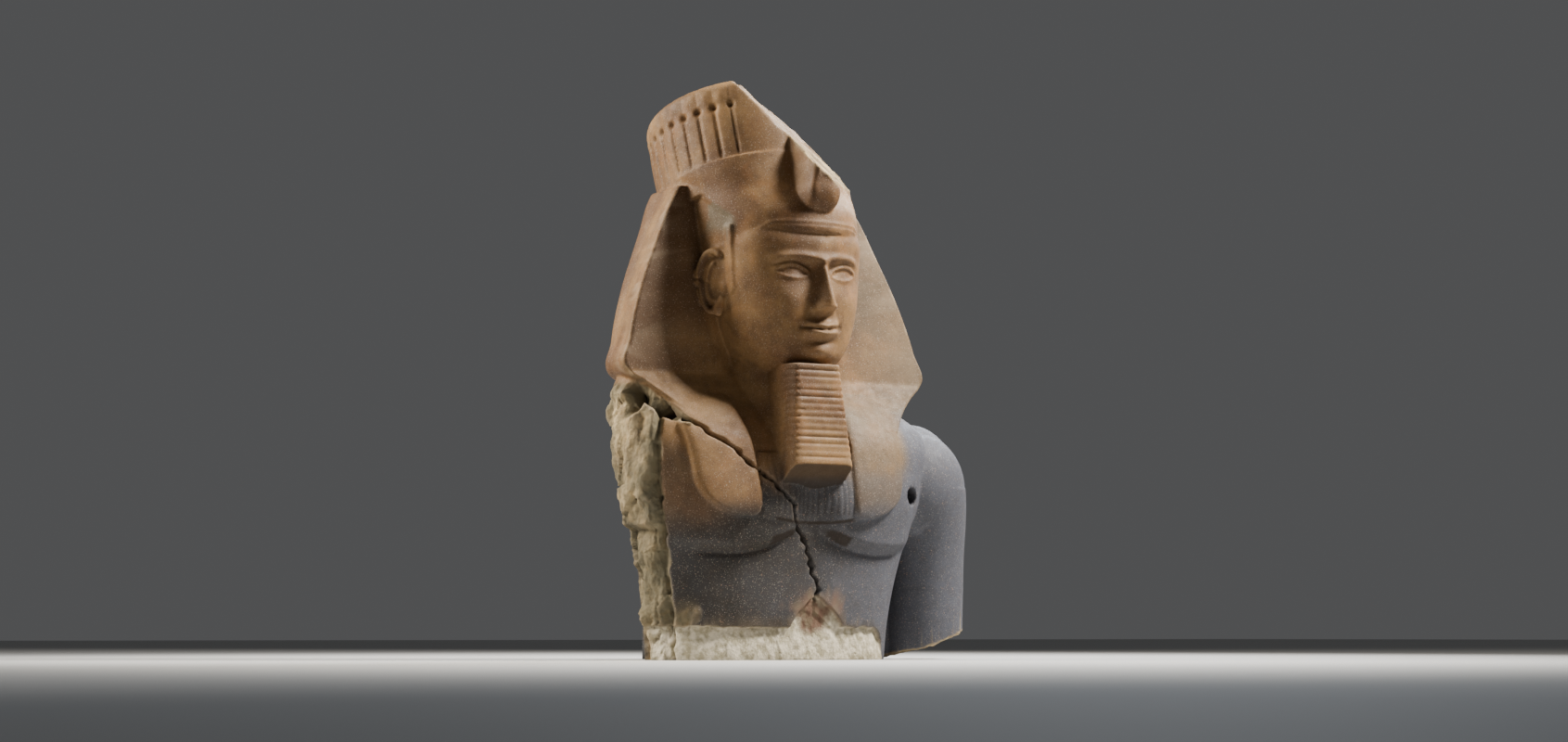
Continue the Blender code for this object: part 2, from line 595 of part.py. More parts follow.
def roughness(points, size, octaves):
    """Flaked stone: a tilted facet in every cell of a random pattern, and finer grain on it."""
    heights = []
    for point in points:
        place = Vector(point) / size
        place.z *= 0.6
        cell = noise.voronoi(place)[1][0]
        tilt = noise.cell_vector(cell * 7.0) - Vector((0.5, 0.5, 0.5))
        facet = (place - cell).dot(tilt)
        heights.append(0.9 * facet + 0.55 * noise.fractal(place * 1.7, 0.9, 2.1, octaves))
    return np.array(heights)


def arm_stump_x(z):
    """How far in the break of the lost arm reaches from its side."""
    return np.interp(z, (0.0, 3.0, 6.0, 8.0, 10.0, 11.0, 12.2), (-6.2, -6.45, -6.9, -7.3, -7.3, -7.0, -7.6))


def crevice(x, z):
    """The deep wedge that runs in from the broken shoulder to the head of the crack, 1 at its bottom."""
    bottom = np.interp(x, (-8.4, -7.6, -7.0, -6.5, -5.8), (10.8, 11.75, 11.2, 11.0, 10.65))
    top = np.interp(x, (-8.4, -8.1, -7.3, -6.6, -5.8), (13.3, 12.97, 12.3, 11.55, 10.8))
    above = 1 - (z - bottom) / np.maximum(top - bottom, 0.15)
    below = 1 - (bottom - z) / 0.3
    return np.clip(np.where(z > bottom, above, below), 0, 1) * (1 - smooth_step(x, -6.6, -5.6))


def ragged(points):
    """An uneven value between about -1 and 1 for the edges of the breaks."""
    return np.array([noise.fractal(Vector(point) / 0.9, 0.8, 2.1, 3) for point in points])


def broken_share(points):
    """Where the stone is broken and rough: 1 on a break and 0 on the carved skin."""
    x, y, z = points.T
    uneven = np.zeros(len(points))
    low = z < 13.3
    uneven[low] = ragged(points[low])
    edge = arm_stump_x(z) + 0.14 * uneven
    arm_stump = (1 - smooth_step(x, edge - 0.06, edge + 0.06)) * (1 - smooth_step(z, 12.2, 12.8))
    chip = smooth_step(crevice(x, z), 0.0, 0.15) * (1 - smooth_step(y, 0.4, 1.2))
    lumps = (1 - smooth_step(x + 0.3 * uneven, -5.9, -5.4)) * bump(z - 1.8, 0.55)
    past = (points - CROWN_BREAK_POINT) @ np.array(CROWN_BREAK_NORMAL)
    crown = smooth_step(past, -0.10, 0.0)
    patch = PATCH_HEIGHT * np.clip(1 - np.abs(x - PATCH_X) / PATCH_HALF_WIDTH, 0, 1) ** 0.7
    band_top = BAND_TOP_Z + patch + 0.10 * uneven
    corner = np.hypot(np.maximum(x - 3.9, 0), np.maximum(z - BAND_TOP_Z + 0.9, 0))
    band = 1 - smooth_step(z, band_top - 0.06, band_top + 0.06)
    band *= np.where(x > 3.9, 1 - smooth_step(corner, 0.87, 0.99), 1.0)
    band *= 1 - smooth_step(y, 0.6, 1.6)
    arm_foot = smooth_step(x, 5.9, 6.5) * (1 - smooth_step(z - arm_break_z(x) + 0.08 * uneven, 0.04, 0.16))
    return np.maximum(arm_stump, chip), lumps, crown, band, arm_foot


def carve(points, normals):
    """Moves the fused skin in grid squares: breaks, crack and drilled hole."""
    x, y, z = points.T
    stump, lumps, crown, band, arm_foot = broken_share(points)
    depth = 0.42 * stump + 0.36 * lumps + 0.12 * crown + 0.12 * band + 0.2 * arm_foot
    rough = np.zeros(len(points))
    near = depth > 0.005
    rough[near] = roughness(points[near], BREAK_GRAIN, 5)
    inside = arm_stump_x(z) - x
    channel = 0.24 * bump(inside - 0.10, 0.12) - 0.16 * bump(inside - 0.42, 0.16)
    move = rough * depth - stump * channel
    move -= band * (0.30 * smooth_step(z, 0.0, BAND_TOP_Z) - 0.05)
    below = 1 - smooth_step(z, BROKEN_STEP_Z - 0.2, BROKEN_STEP_Z + 0.2)
    move -= BROKEN_STEP * below * smooth_step(inside, -0.1, 0.7)
    move -= 0.8 * crevice(x, z) * (1 - smooth_step(y, 0.2, 0.9))
    front = (normals[:, 1] < -0.2) & (y < 0.5)
    wide = CRACK_HALF_WIDTH * (1 + 0.5 * np.sin(3.3 * z) * np.sin(7.7 * z))
    move -= 0.30 * bump(crack_distance(x + crack_wander(z), z), wide) * front
    result = points + normals * move[:, None]
    result[:, 1] += drill_depth(x, z) * front
    return result


def fused_skin(bm):
    """One skin round all the masses, with the finer carving on it and few enough faces."""
    mesh = bpy.data.meshes.new("masses")
    bm.to_mesh(mesh)
    bm.free()
    masses = bpy.data.objects.new("masses", mesh)
    bpy.context.scene.collection.objects.link(masses)
    remesh = masses.modifiers.new("fuse", "REMESH")
    remesh.mode = "VOXEL"
    remesh.voxel_size = SKIN_VOXEL
    smooth = masses.modifiers.new("soften", "SMOOTH")
    smooth.factor = 0.5
    smooth.iterations = 2
    graph = bpy.context.evaluated_depsgraph_get()
    skin = bpy.data.meshes.new_from_object(masses.evaluated_get(graph))
    bpy.data.objects.remove(masses)
    return skin


def move_skin(skin):
    count = len(skin.vertices)
    points = np.empty(count * 3, np.float32)
    normals = np.empty(count * 3, np.float32)
    skin.vertices.foreach_get("co", points)
    skin.vertices.foreach_get("normal", normals)
    carved = carve(points.reshape(-1, 3) / SQUARE, normals.reshape(-1, 3)) * SQUARE
    skin.vertices.foreach_set("co", carved.astype(np.float32).ravel())
    skin.update()


def thin_out(skin):
    """Fewer faces where the surface is plain."""
    thick = bpy.data.objects.new("skin", skin)
    bpy.context.scene.collection.objects.link(thick)
    decimate = thick.modifiers.new("thin", "DECIMATE")
    decimate.ratio = SKIN_TRIANGLES / sum(len(face.vertices) - 2 for face in skin.polygons)
    decimate.use_collapse_triangulate = True
    graph = bpy.context.evaluated_depsgraph_get()
    thin = bpy.data.meshes.new_from_object(thick.evaluated_get(graph))
    bpy.data.objects.remove(thick)
    return thin


def flat_underside(bm):
    result = bmesh.ops.bisect_plane(
        bm,
        geom=bm.verts[:] + bm.edges[:] + bm.faces[:],
        plane_co=(0, 0, 0),
        plane_no=(0, 0, -1),
        clear_outer=True,
    )
    rim = [item for item in result["geom_cut"] if isinstance(item, bmesh.types.BMEdge)]
    bmesh.ops.holes_fill(bm, edges=rim, sides=0)
    for vert in bm.verts:
        if abs(vert.co.z) < 1e-5:
            vert.co.z = 0.0


def centre(bm):
    """Puts the origin at the bottom centre of the bounding box."""
    places = np.array([vert.co for vert in bm.verts])
    middle = (places.min(axis=0) + places.max(axis=0)) / 2
    for vert in bm.verts:
        vert.co.x -= middle[0]
        vert.co.y -= middle[1]


def add_masses(bm):
    """Every form of the figure as a closed body that overlaps its neighbours."""
    add_torso(bm)
    add_arm(bm)
    add_broken_shoulder(bm)
    add_neck(bm)
    add_head(bm)
    add_headcloth_wings(bm)
    add_cap(bm)
    add_crown(bm)
    add_uraeus(bm)
    add_beard(bm)
    add_collar(bm)
    add_back_pillar(bm)
    for side in (-1, 1):
        add_cheek_tab(bm, side)
        add_ear(bm, side)
        add_lappet(bm, side)


def build_statue():
    bm = bmesh.new()
    add_masses(bm)
    skin = fused_skin(bm)
    move_skin(skin)
    skin = thin_out(skin)
    bm = bmesh.new()
    bm.from_mesh(skin)
    flat_underside(bm)
    centre(bm)
    bmesh.ops.triangulate(bm, faces=bm.faces[:])
    bmesh.ops.recalc_face_normals(bm, faces=bm.faces[:])
    mesh = bpy.data.meshes.new("pharaoh_statue")
    bm.to_mesh(mesh)
    bm.free()
    mesh.materials.append(stone_material())
    statue = bpy.data.objects.new("pharaoh_statue", mesh)
    bpy.context.scene.collection.objects.link(statue)


clear_scene()
build_statue()
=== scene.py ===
"""Colossal broken bust of a king, carved from one block of granite: the finished surface.

The figure faces -Y. Its forms are counted in grid squares, as a carver sets them out on the
block. They are fused into one skin, and the finer carving, breaks and colours follow from where
a place lies on the figure.
"""

import math

import bmesh
import bpy
import numpy as np
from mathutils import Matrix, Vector, noise
from mathutils.kdtree import KDTree


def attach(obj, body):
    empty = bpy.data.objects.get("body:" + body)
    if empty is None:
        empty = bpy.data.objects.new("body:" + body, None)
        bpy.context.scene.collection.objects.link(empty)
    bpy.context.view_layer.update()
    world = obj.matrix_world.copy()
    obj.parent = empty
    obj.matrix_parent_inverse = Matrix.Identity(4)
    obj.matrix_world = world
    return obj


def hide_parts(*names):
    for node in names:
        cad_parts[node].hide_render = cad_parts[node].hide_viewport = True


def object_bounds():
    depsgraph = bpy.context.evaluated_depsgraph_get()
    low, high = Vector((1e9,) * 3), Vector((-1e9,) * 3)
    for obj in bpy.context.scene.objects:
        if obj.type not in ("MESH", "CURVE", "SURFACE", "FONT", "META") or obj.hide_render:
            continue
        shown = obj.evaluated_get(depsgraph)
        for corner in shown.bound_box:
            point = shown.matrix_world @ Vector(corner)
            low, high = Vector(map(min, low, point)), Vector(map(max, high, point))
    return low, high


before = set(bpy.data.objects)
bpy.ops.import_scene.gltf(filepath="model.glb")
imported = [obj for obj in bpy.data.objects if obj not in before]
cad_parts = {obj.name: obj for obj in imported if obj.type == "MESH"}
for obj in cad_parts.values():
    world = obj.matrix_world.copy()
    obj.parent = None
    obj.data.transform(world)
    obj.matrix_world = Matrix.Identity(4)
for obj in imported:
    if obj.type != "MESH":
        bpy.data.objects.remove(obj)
cad_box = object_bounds()

# Sizes in metres
HEIGHT = 2.67
DRILL_HOLE_DIAMETER = 0.08
DRILL_HOLE_DEPTH = 0.10
SKIN_VOXEL = 0.0065
SKIN_TRIANGLES = 190000
CURVE_ROUNDS = 14
# Where the painted shade in hollows and the painted highlight on crests begin and are full.
HOLLOW_SHADE_FROM = 0.03
HOLLOW_SHADE_FULL = 0.16
RIDGE_HIGHLIGHT_FROM = 0.03
RIDGE_HIGHLIGHT_FULL = 0.14

# Camera, as the photograph was taken
PHOTO_WIDTH = 1691
PHOTO_HEIGHT = 800
FOCAL_PIXELS = 3500
SENSOR_MM = 36
CAMERA_AZIMUTH = math.radians(-35)
CAMERA_DISTANCE = 15.0
CAMERA_HEIGHT = 0.12
HORIZON_PIXEL = 683
AIM_RIGHT = 0.018
FLOOR_REACH = 40.0

# Studio: name, azimuth and elevation in degrees, distance, size, power and colour of each light
LIGHTS = (
    ("key", 54, 46, 7.0, 1.6, 520, (1.0, 0.95, 0.88)),
    ("side", -122, 32, 6.5, 3.0, 330, (1.0, 0.94, 0.84)),
    ("rim", 118, 35, 7.0, 3.0, 180, (0.84, 0.91, 1.0)),
)
BEAM_SPREAD = math.radians(95)
WORLD_COLOUR = (0.86, 0.87, 0.89, 1.0)
WORLD_STRENGTH = 0.10
FLOOR_COLOUR = (0.50, 0.50, 0.49, 1.0)

# Stone colours
WARM_DARK = (0.115, 0.055, 0.021, 1.0)
WARM_LIGHT = (0.27, 0.155, 0.062, 1.0)
WARM_ORANGE = (0.31, 0.14, 0.045, 1.0)
# Deep brown also paints the head's shadow on one wing and the shade on the beard's flanks.
DEEP_BROWN = (0.050, 0.028, 0.013, 1.0)
# Grey-green and grey also paint shade on the temple's facet and on the wing of the kept arm's side.
WARM_GREEN = (0.095, 0.085, 0.05, 1.0)
WARM_GREY = (0.145, 0.112, 0.075, 1.0)
GREY_DARK = (0.022, 0.019, 0.016, 1.0)
GREY_BLUE = (0.045, 0.043, 0.045, 1.0)
GREY_BROWN = (0.060, 0.045, 0.032, 1.0)
GREY_COOL = (0.092, 0.098, 0.122, 1.0)
BLOTCH = (0.06, 0.042, 0.030, 1.0)
FLECK_LIGHT = (0.36, 0.32, 0.27, 1.0)
FLECK_PINK = (0.32, 0.19, 0.13, 1.0)
FLECK_DARK = (0.022, 0.019, 0.017, 1.0)
BREAK_GREY = (0.17, 0.128, 0.078, 1.0)
BREAK_CREAM = (0.54, 0.42, 0.24, 1.0)
BREAK_OCHRE = (0.46, 0.31, 0.14, 1.0)
BREAK_GREEN = (0.085, 0.082, 0.055, 1.0)
BAND_DULL = (0.34, 0.30, 0.20, 1.0)
BAND_WHITE = (0.66, 0.59, 0.46, 1.0)
RED_PATCH = (0.15, 0.085, 0.058, 1.0)
PATCH_BROWN = (0.17, 0.125, 0.08, 1.0)
# Painted shade colour for hollows, creases, the crack, the drilled hole, the collar's grooves and under the
# beard.
HOLLOW_SHADE_COLOUR = (0.026, 0.019, 0.014, 1.0)
# Pale colour of the painted highlight on crests, and of worn chips on the wings' edges.
CREST_HIGHLIGHT_AND_CHIPS = (0.46, 0.35, 0.23, 1.0)

# One grid square in metres. Every size below is in grid squares
GRID_SQUARES_HIGH = 26.73
SQUARE = HEIGHT / GRID_SQUARES_HIGH

# Head
CHIN_Z = 13.45
FACE_THIRD = 2.33
NOSE_BASE_Z = CHIN_Z + FACE_THIRD
BROW_Z = NOSE_BASE_Z + FACE_THIRD
EYE_Z = BROW_Z - 0.50
MOUTH_Z = NOSE_BASE_Z - 0.32 * FACE_THIRD
HEADBAND_Z = 19.7
TEMPLE_DROP = 1.1
FACE_WIDEST_Y = -0.3
EYE_X = 1.42
EYE_HALF_WIDTH = 0.78

# Headcloth, crown and beard
WING_CREASE_Z = 13.0
WING_TOP_Z = 21.8
CROWN_FOOT = (0.0, 2.5, 22.4)
CROWN_LEAN = math.radians(17)
CROWN_HEIGHT = 3.58
CROWN_RADIUS = 4.4
CAP_RIM_UP = -0.3
COBRAS_ROUND = 34
COBRA_TURN = 0.05
COBRA_HEAD_UP = 2.3
CROWN_WORN_FROM = math.radians(-36)
CROWN_WORN_TO = math.radians(60)
CROWN_BREAK_POINT = (-1.16, -1.45, 24.60)
CROWN_BREAK_NORMAL = (0.483, -0.519, 0.705)
BEARD_X = -0.22
BEARD_TOP_Z = 13.45
BEARD_FOOT_Z = 8.85
BEARD_RIBS = 14
BEARD_GROOVE = 0.11

# Chest, arm and breaks
PECTORAL_Z = 5.2
LAPPET_FOOT_Z = 6.5
LAPPET_THICKNESS = 0.30
LAPPETS_MIDDLE_X = -0.43
SHOULDER_CENTRE = (8.05, 1.0, 8.1)
SHOULDER_RADII = (2.95, 2.6, 2.9)
SHOULDER_TOP_CENTRE = (8.3, 1.2, 8.7)
SHOULDER_TOP_RADII = (2.3, 2.2, 2.5)
DRILL_HOLE_AT = (6.15, 7.6)
BAND_TOP_Z = 1.5
PATCH_X = 0.55
PATCH_HEIGHT = 1.5
PATCH_HALF_WIDTH = 1.5
BREAK_GRAIN = 1.5
BROKEN_STEP = 0.45
BROKEN_STEP_Z = 5.95
CRACK_HALF_WIDTH = 0.07
CRACK_X = (-6.5, -5.7, -4.7, -3.8, -2.95, -1.9, -1.2, -0.75, -0.05, -0.05, 0.25, 0.6)
CRACK_Z = (11.0, 10.6, 9.87, 9.15, 8.5, 7.75, 6.8, 5.95, 5.3, 4.65, 4.2, 2.8)


def smooth_step(value, low, high):
    t = np.clip((value - low) / (high - low), 0.0, 1.0)
    return t * t * (3.0 - 2.0 * t)


def bump(distance, width):
    """A rounded hill of height 1, as wide as width each way."""
    return np.exp(-((distance / width) ** 2))


def curve(at, places, values):
    """A smooth curve through the values, read at any place between the first and the last."""
    places = np.asarray(places, float)
    values = np.asarray(values, float)
    slopes = np.gradient(values, places)
    at = np.clip(at, places[0], places[-1])
    i = np.clip(np.searchsorted(places, at, side="right") - 1, 0, len(places) - 2)
    step = places[i + 1] - places[i]
    t = (at - places[i]) / step
    start = (1 + 2 * t) * (1 - t) ** 2 * values[i] + t * (1 - t) ** 2 * step * slopes[i]
    end = t * t * (3 - 2 * t) * values[i + 1] + t * t * (t - 1) * step * slopes[i + 1]
    return start + end


def add_loft(bm, rings):
    """One closed body through rings of points, all with the same count, in grid squares."""
    loops = []
    for ring in rings:
        loops.append([bm.verts.new(Vector(point) * SQUARE) for point in ring])
    faces = []
    for low, high in zip(loops, loops[1:]):
        for i in range(len(low)):
            j = (i + 1) % len(low)
            faces.append(bm.faces.new((low[i], low[j], high[j], high[i])))
    for loop, ring in ((loops[0], rings[0]), (loops[-1], rings[-1])):
        middle = bm.verts.new(Vector(np.mean(ring, axis=0)) * SQUARE)
        for i in range(len(loop)):
            faces.append(bm.faces.new((loop[i], loop[(i + 1) % len(loop)], middle)))
    bmesh.ops.recalc_face_normals(bm, faces=faces)
    return faces


def cut_flat(bm, faces, point, normal):
    """Takes away what lies beyond a plane, closes the cut, and returns the faces that are left."""
    edges = {edge for face in faces for edge in face.edges}
    verts = {vert for face in faces for vert in face.verts}
    result = bmesh.ops.bisect_plane(
        bm,
        geom=list(verts) + list(edges) + list(faces),
        plane_co=Vector(point) * SQUARE,
        plane_no=Vector(normal),
        clear_outer=True,
    )
    rim = [item for item in result["geom_cut"] if isinstance(item, bmesh.types.BMEdge)]
    closing = bmesh.ops.contextual_create(bm, geom=rim)["faces"]
    left = [item for item in result["geom"] if isinstance(item, bmesh.types.BMFace) and item.is_valid]
    return left + closing


def oval(count, left, right, front, back, middle_y, z, squareness=2.0):
    """A level ring whose four sides reach left, right, front and back."""
    angle = np.linspace(0, 2 * math.pi, count, endpoint=False)
    across = np.sign(np.cos(angle)) * np.abs(np.cos(angle)) ** (2 / squareness)
    along = np.sign(np.sin(angle)) * np.abs(np.sin(angle)) ** (2 / squareness)
    middle_x = (left + right) / 2
    x = middle_x + across * (right - left) / 2
    y = middle_y + np.where(along > 0, along * (back - middle_y), along * (middle_y - front))
    return np.stack([x, y, np.full(count, float(z))], axis=1)


def add_ellipsoid(bm, centre, radii, count=48):
    """A closed oval ball made of level rings."""
    rings = []
    for angle in np.linspace(-math.pi / 2, math.pi / 2, count // 2 + 1)[1:-1]:
        wide = math.cos(angle)
        ring = oval(count, -radii[0] * wide, radii[0] * wide, -radii[1] * wide, radii[1] * wide, 0, 0)
        ring[:, 2] = radii[2] * math.sin(angle)
        rings.append(ring + np.array(centre))
    return add_loft(bm, rings)


def add_tube(bm, path, radius, sides=16):
    """A round bar along a path, with closed ends, whose radius may change from end to end."""
    path = [Vector(point) for point in path]
    radii = np.broadcast_to(radius, len(path))
    rings = []
    for i, point in enumerate(path):
        ahead = path[min(i + 1, len(path) - 1)] - path[max(i - 1, 0)]
        turn = ahead.to_track_quat("Z", "Y")
        ring = []
        for k in range(sides):
            angle = 2 * math.pi * k / sides
            ring.append(point + turn @ Vector((math.cos(angle), math.sin(angle), 0)) * float(radii[i]))
        rings.append(ring)
    return add_loft(bm, rings)


def torso_sizes(z):
    """Left, right, front and back reach of the trunk at a height."""
    levels = (-0.5, 2.0, 4.0, 5.7, 6.2, 7.0, 8.5, 10.0, 11.0, 11.8, 12.6)
    left = curve(z, levels, (-6.5, -6.75, -6.95, -7.4, -7.5, -7.65, -7.9, -8.1, -8.1, -7.8, -6.0))
    right = curve(z, levels, (5.7, 6.0, 6.5, 7.1, 7.3, 7.7, 8.2, 8.4, 7.8, 6.4, 4.4))
    front = curve(z, levels, (-2.1, -2.15, -2.2, -2.3, -2.35, -2.5, -2.5, -2.15, -1.5, -0.8, 0.4))
    back = curve(z, levels, (3.2, 3.2, 3.3, 3.4, 3.4, 3.5, 3.6, 3.6, 3.5, 3.4, 3.2))
    return left, right, front, back


def chest_front(x, z):
    """How far forward the front of the trunk lies, as y."""
    left, right, front, back = torso_sizes(z)
    middle_y = 0.6
    middle_x = (left + right) / 2
    share = np.clip(np.abs(x - middle_x) / ((right - left) / 2), 0, 1)
    squareness = 2.7
    depth = (1 - share**squareness) ** (1 / squareness)
    return middle_y + (front - middle_y) * depth - chest_relief(x, z)


def chest_relief(x, z):
    """The breast muscles and the line under each."""
    side = np.abs(x)
    line_z = PECTORAL_Z - 0.25 + (side - 4.2) ** 2 * np.where(side > 4.2, 0.045, 0.075)
    above = z - line_z
    swell = smooth_step(above, -0.15, 0.40) * (1 - smooth_step(above, 1.0, 4.5))
    muscle = 0.42 * swell * smooth_step(side, 0.1, 1.6) * (1 - smooth_step(side, 5.4, 7.4))
    line = 0.12 * bump(above + 0.14, 0.13) * smooth_step(side, 0.5, 1.6) * (1 - smooth_step(side, 5.0, 6.2))
    belly = 0.10 * bump(x, 2.6) * (1 - smooth_step(z, 2.0, 5.0))
    return muscle + belly - line


def add_torso(bm):
    rings = []
    for z in np.linspace(-0.5, 12.6, 100):
        left, right, front, back = torso_sizes(z)
        ring = oval(200, left, right, front, back, 0.6, z, 2.7)
        facing = np.clip((0.6 - ring[:, 1]) / 1.6, 0, 1)
        ring[:, 1] -= chest_relief(ring[:, 0], ring[:, 2]) * facing
        rings.append(ring)
    add_loft(bm, rings)


def add_arm(bm):
    """Shoulder, upper arm down to its broken end, and the web of stone behind it."""
    add_ellipsoid(bm, SHOULDER_CENTRE, SHOULDER_RADII, count=96)
    add_ellipsoid(bm, SHOULDER_TOP_CENTRE, SHOULDER_TOP_RADII, count=72)
    levels = (-0.5, 2.0, 4.0, 6.0, 7.2, SHOULDER_CENTRE[2])
    rings = []
    for share in np.linspace(0, 1, 60):
        level = -0.5 + share * (SHOULDER_CENTRE[2] + 0.5)
        x = curve(level, levels, (9.15, 9.15, 9.1, 8.85, 8.45, SHOULDER_CENTRE[0]))
        y = curve(level, levels, (1.35, 1.35, 1.3, 1.2, 1.1, SHOULDER_CENTRE[1]))
        wide = curve(level, levels, (1.95, 2.0, 2.05, 2.3, 2.65, SHOULDER_RADII[0]))
        deep = curve(level, levels, (2.05, 2.1, 2.15, 2.35, 2.5, SHOULDER_RADII[1]))
        ring = oval(96, x - wide, x + wide, y - deep, y + deep, y, 0, 2.1)
        foot = arm_break_z(ring[:, 0])
        ring[:, 2] = foot + share * (SHOULDER_CENTRE[2] - foot)
        rings.append(ring)
    add_loft(bm, rings)
    rings = []
    for share in np.linspace(0, 1, 24):
        ring = oval(64, 4.0, 9.4, 1.3, 3.3, 2.3, 0, 5.0)
        foot = arm_break_z(ring[:, 0])
        ring[:, 2] = foot + share * (8.6 - foot)
        rings.append(ring)
    add_loft(bm, rings)


def add_broken_shoulder(bm):
    """The mass that the lost arm broke away from, up to the foot of the wing."""
    add_ellipsoid(bm, (-6.5, 1.4, 11.5), (1.5, 1.9, 2.3), count=40)


def arm_break_z(x):
    return np.clip(-0.4 + (x - 5.4) * 0.34, -0.5, 1.5)


def add_neck(bm):
    rings = []
    for z in np.linspace(10.2, 14.8, 30):
        half = curve(z, (10.2, 11.4, 13.0, 14.8), (3.6, 2.75, 2.45, 2.5))
        front = curve(z, (10.2, 11.4, 13.0, 14.8), (-2.3, -2.0, -1.6, -1.5))
        rings.append(oval(96, -half, half, front, 3.0, 0.4, z, 2.1))
    add_loft(bm, rings)


def face_relief(x, z):
    """How far the carving of the face stands out from the plain front of the head."""
    side = np.abs(x)
    out = np.zeros_like(x)
    out -= 0.38 * bump(side - 1.30, 0.95) * bump(z - EYE_Z - 0.12, 0.52)
    brow_z = BROW_Z + 0.22 - 0.10 * (side - 1.2) ** 2
    out += 0.20 * bump(z - brow_z, 0.20) * (1 - smooth_step(side, 1.9, 2.7))
    out += 0.18 * bump(side - 1.75, 0.80) * bump(z - NOSE_BASE_Z - 0.55, 0.75)
    out += eye_relief(side, z)
    out += nose_relief(side, z)
    out += mouth_relief(side, z)
    out += 0.34 * bump(side, 0.85) * bump(z - CHIN_Z - 0.52, 0.42)
    out -= 0.12 * bump(side, 0.85) * bump(z - CHIN_Z - 1.02, 0.15)
    return out


def eye_relief(side, z):
    """A ball behind two rimmed lids."""
    along = (side - EYE_X) / EYE_HALF_WIDTH
    arch = np.clip(1 - along**2, 0, 1)
    tilt = 0.05 * along
    upper = EYE_Z + tilt + 0.27 * arch**0.75
    lower = EYE_Z + tilt - 0.21 * arch**0.9
    ball = 0.34 * bump(side - EYE_X, 0.66) * bump(z - EYE_Z - 0.02, 0.42)
    inside = smooth_step(z, lower - 0.03, lower + 0.03) * (1 - smooth_step(z, upper - 0.03, upper + 0.03))
    inside = inside * (np.abs(along) < 1)
    near = 1 - smooth_step(np.abs(along), 0.95, 1.25)
    upper_lid = bump(z - upper - 0.08, 0.085) * near
    lower_lid = bump(z - lower + 0.06, 0.07) * near
    fold = bump(z - upper - 0.27, 0.05) * near
    return ball - 0.055 * inside + 0.11 * upper_lid + 0.05 * lower_lid - 0.04 * fold


def nose_relief(side, z):
    base = NOSE_BASE_Z
    levels = (base - 0.16, base, base + 0.16, base + 0.4, 17.0, 17.8, BROW_Z, 19.2)
    ridge = curve(z, levels, (0.0, 0.26, 0.74, 0.88, 0.70, 0.44, 0.22, 0.0))
    half = curve(z, levels, (0.34, 0.36, 0.40, 0.42, 0.36, 0.30, 0.36, 0.5))
    nose = ridge * np.exp(-((side / half) ** 2.2))
    wings = 0.38 * bump(side - 0.43, 0.21) * bump(z - NOSE_BASE_Z - 0.25, 0.22)
    nostril = 0.16 * bump(side - 0.26, 0.11) * bump(z - NOSE_BASE_Z - 0.03, 0.09)
    cheek_fold = 0.05 * bump(side - 0.78 - 0.25 * (NOSE_BASE_Z + 0.2 - z), 0.12) * bump(z - NOSE_BASE_Z, 0.35)
    return nose + wings - nostril - cheek_fold


def mouth_relief(side, z):
    half = 0.98
    across = np.clip(side / half, 0, 1)
    closed = np.sqrt(1 - across**2)
    parting = MOUTH_Z + 0.10 * across**2 - 0.03 * bump(side, 0.2)
    muzzle = 0.24 * bump(side, 1.25) * bump(z - MOUTH_Z, 0.72)
    upper = 0.25 * closed * bump(z - parting - 0.17 + 0.03 * bump(side, 0.12), 0.15)
    lower = 0.29 * closed**1.3 * bump(z - parting + 0.20, 0.17)
    line = 0.20 * bump(z - parting, 0.055) * (1 - smooth_step(side, 0.9, 1.08))
    corner = 0.13 * bump(side - 1.04, 0.15) * bump(z - parting, 0.15)
    groove = 0.06 * bump(side, 0.10) * bump(z - MOUTH_Z - 0.52, 0.17)
    return muzzle + upper + lower - line - corner - groove


def add_head(bm):
    levels = (12.9, 13.3, 13.7, 14.3, 15.2, 16.2, 17.2, 18.2, 19.2, 20.4)
    rings = []
    for z in np.linspace(12.9, 20.4, 190):
        half = curve(z, levels, (1.3, 1.85, 2.3, 2.75, 3.12, 3.36, 3.5, 3.56, 3.56, 3.2))
        front = curve(z, levels, (-1.6, -2.45, -2.95, -3.15, -3.25, -3.3, -3.3, -3.32, -3.38, -2.8))
        ring = oval(300, -half, half, front, 3.0, FACE_WIDEST_Y, z, 2.25)
        facing = np.clip((FACE_WIDEST_Y - ring[:, 1]) / 0.9, 0, 1)
        ring[:, 1] -= face_relief(ring[:, 0], ring[:, 2]) * facing
        rings.append(ring)
    add_loft(bm, rings)


def add_ear(bm, side):
    """Rim, inner fold, small flap and lobe on a thin plate that stands off the head."""
    low = NOSE_BASE_Z + 0.1
    high = BROW_Z + 0.55
    middle = (low + high) / 2
    reach = (high - low) / 2

    def place(across, up, out):
        """Across goes back and outward along the plate, and out is proud of it."""
        x = 3.42 + 0.50 * across + 0.35 * out
        y = -0.55 + 0.80 * across - 0.75 * out
        return (side * x, y, up)

    rim = []
    for angle in np.radians(np.linspace(-150, 120, 40)):
        wide = 0.78 if math.sin(angle) > 0 else 0.60
        across = 0.75 + wide * math.cos(angle)
        rim.append(place(across, middle + reach * math.sin(angle), 0.22))
    add_tube(bm, rim, np.linspace(0.13, 0.17, len(rim)))
    fold = []
    for angle in np.radians(np.linspace(-110, 95, 24)):
        across = 0.62 + 0.36 * math.cos(angle)
        fold.append(place(across, middle - 0.05 + 0.62 * reach * math.sin(angle), 0.15))
    add_tube(bm, fold, 0.12)
    for k in np.linspace(0.0, 1.1, 10):
        tall = reach * math.sqrt(max(0.05, 1 - ((k - 0.6) / 0.85) ** 2))
        add_ellipsoid(bm, place(k, middle, -0.12), (0.24, 0.24, tall), count=20)
    add_ellipsoid(bm, place(0.10, middle - 0.22, 0.14), (0.17, 0.20, 0.26), count=20)
    add_ellipsoid(bm, place(0.42, low + 0.16, 0.10), (0.26, 0.26, 0.38), count=20)


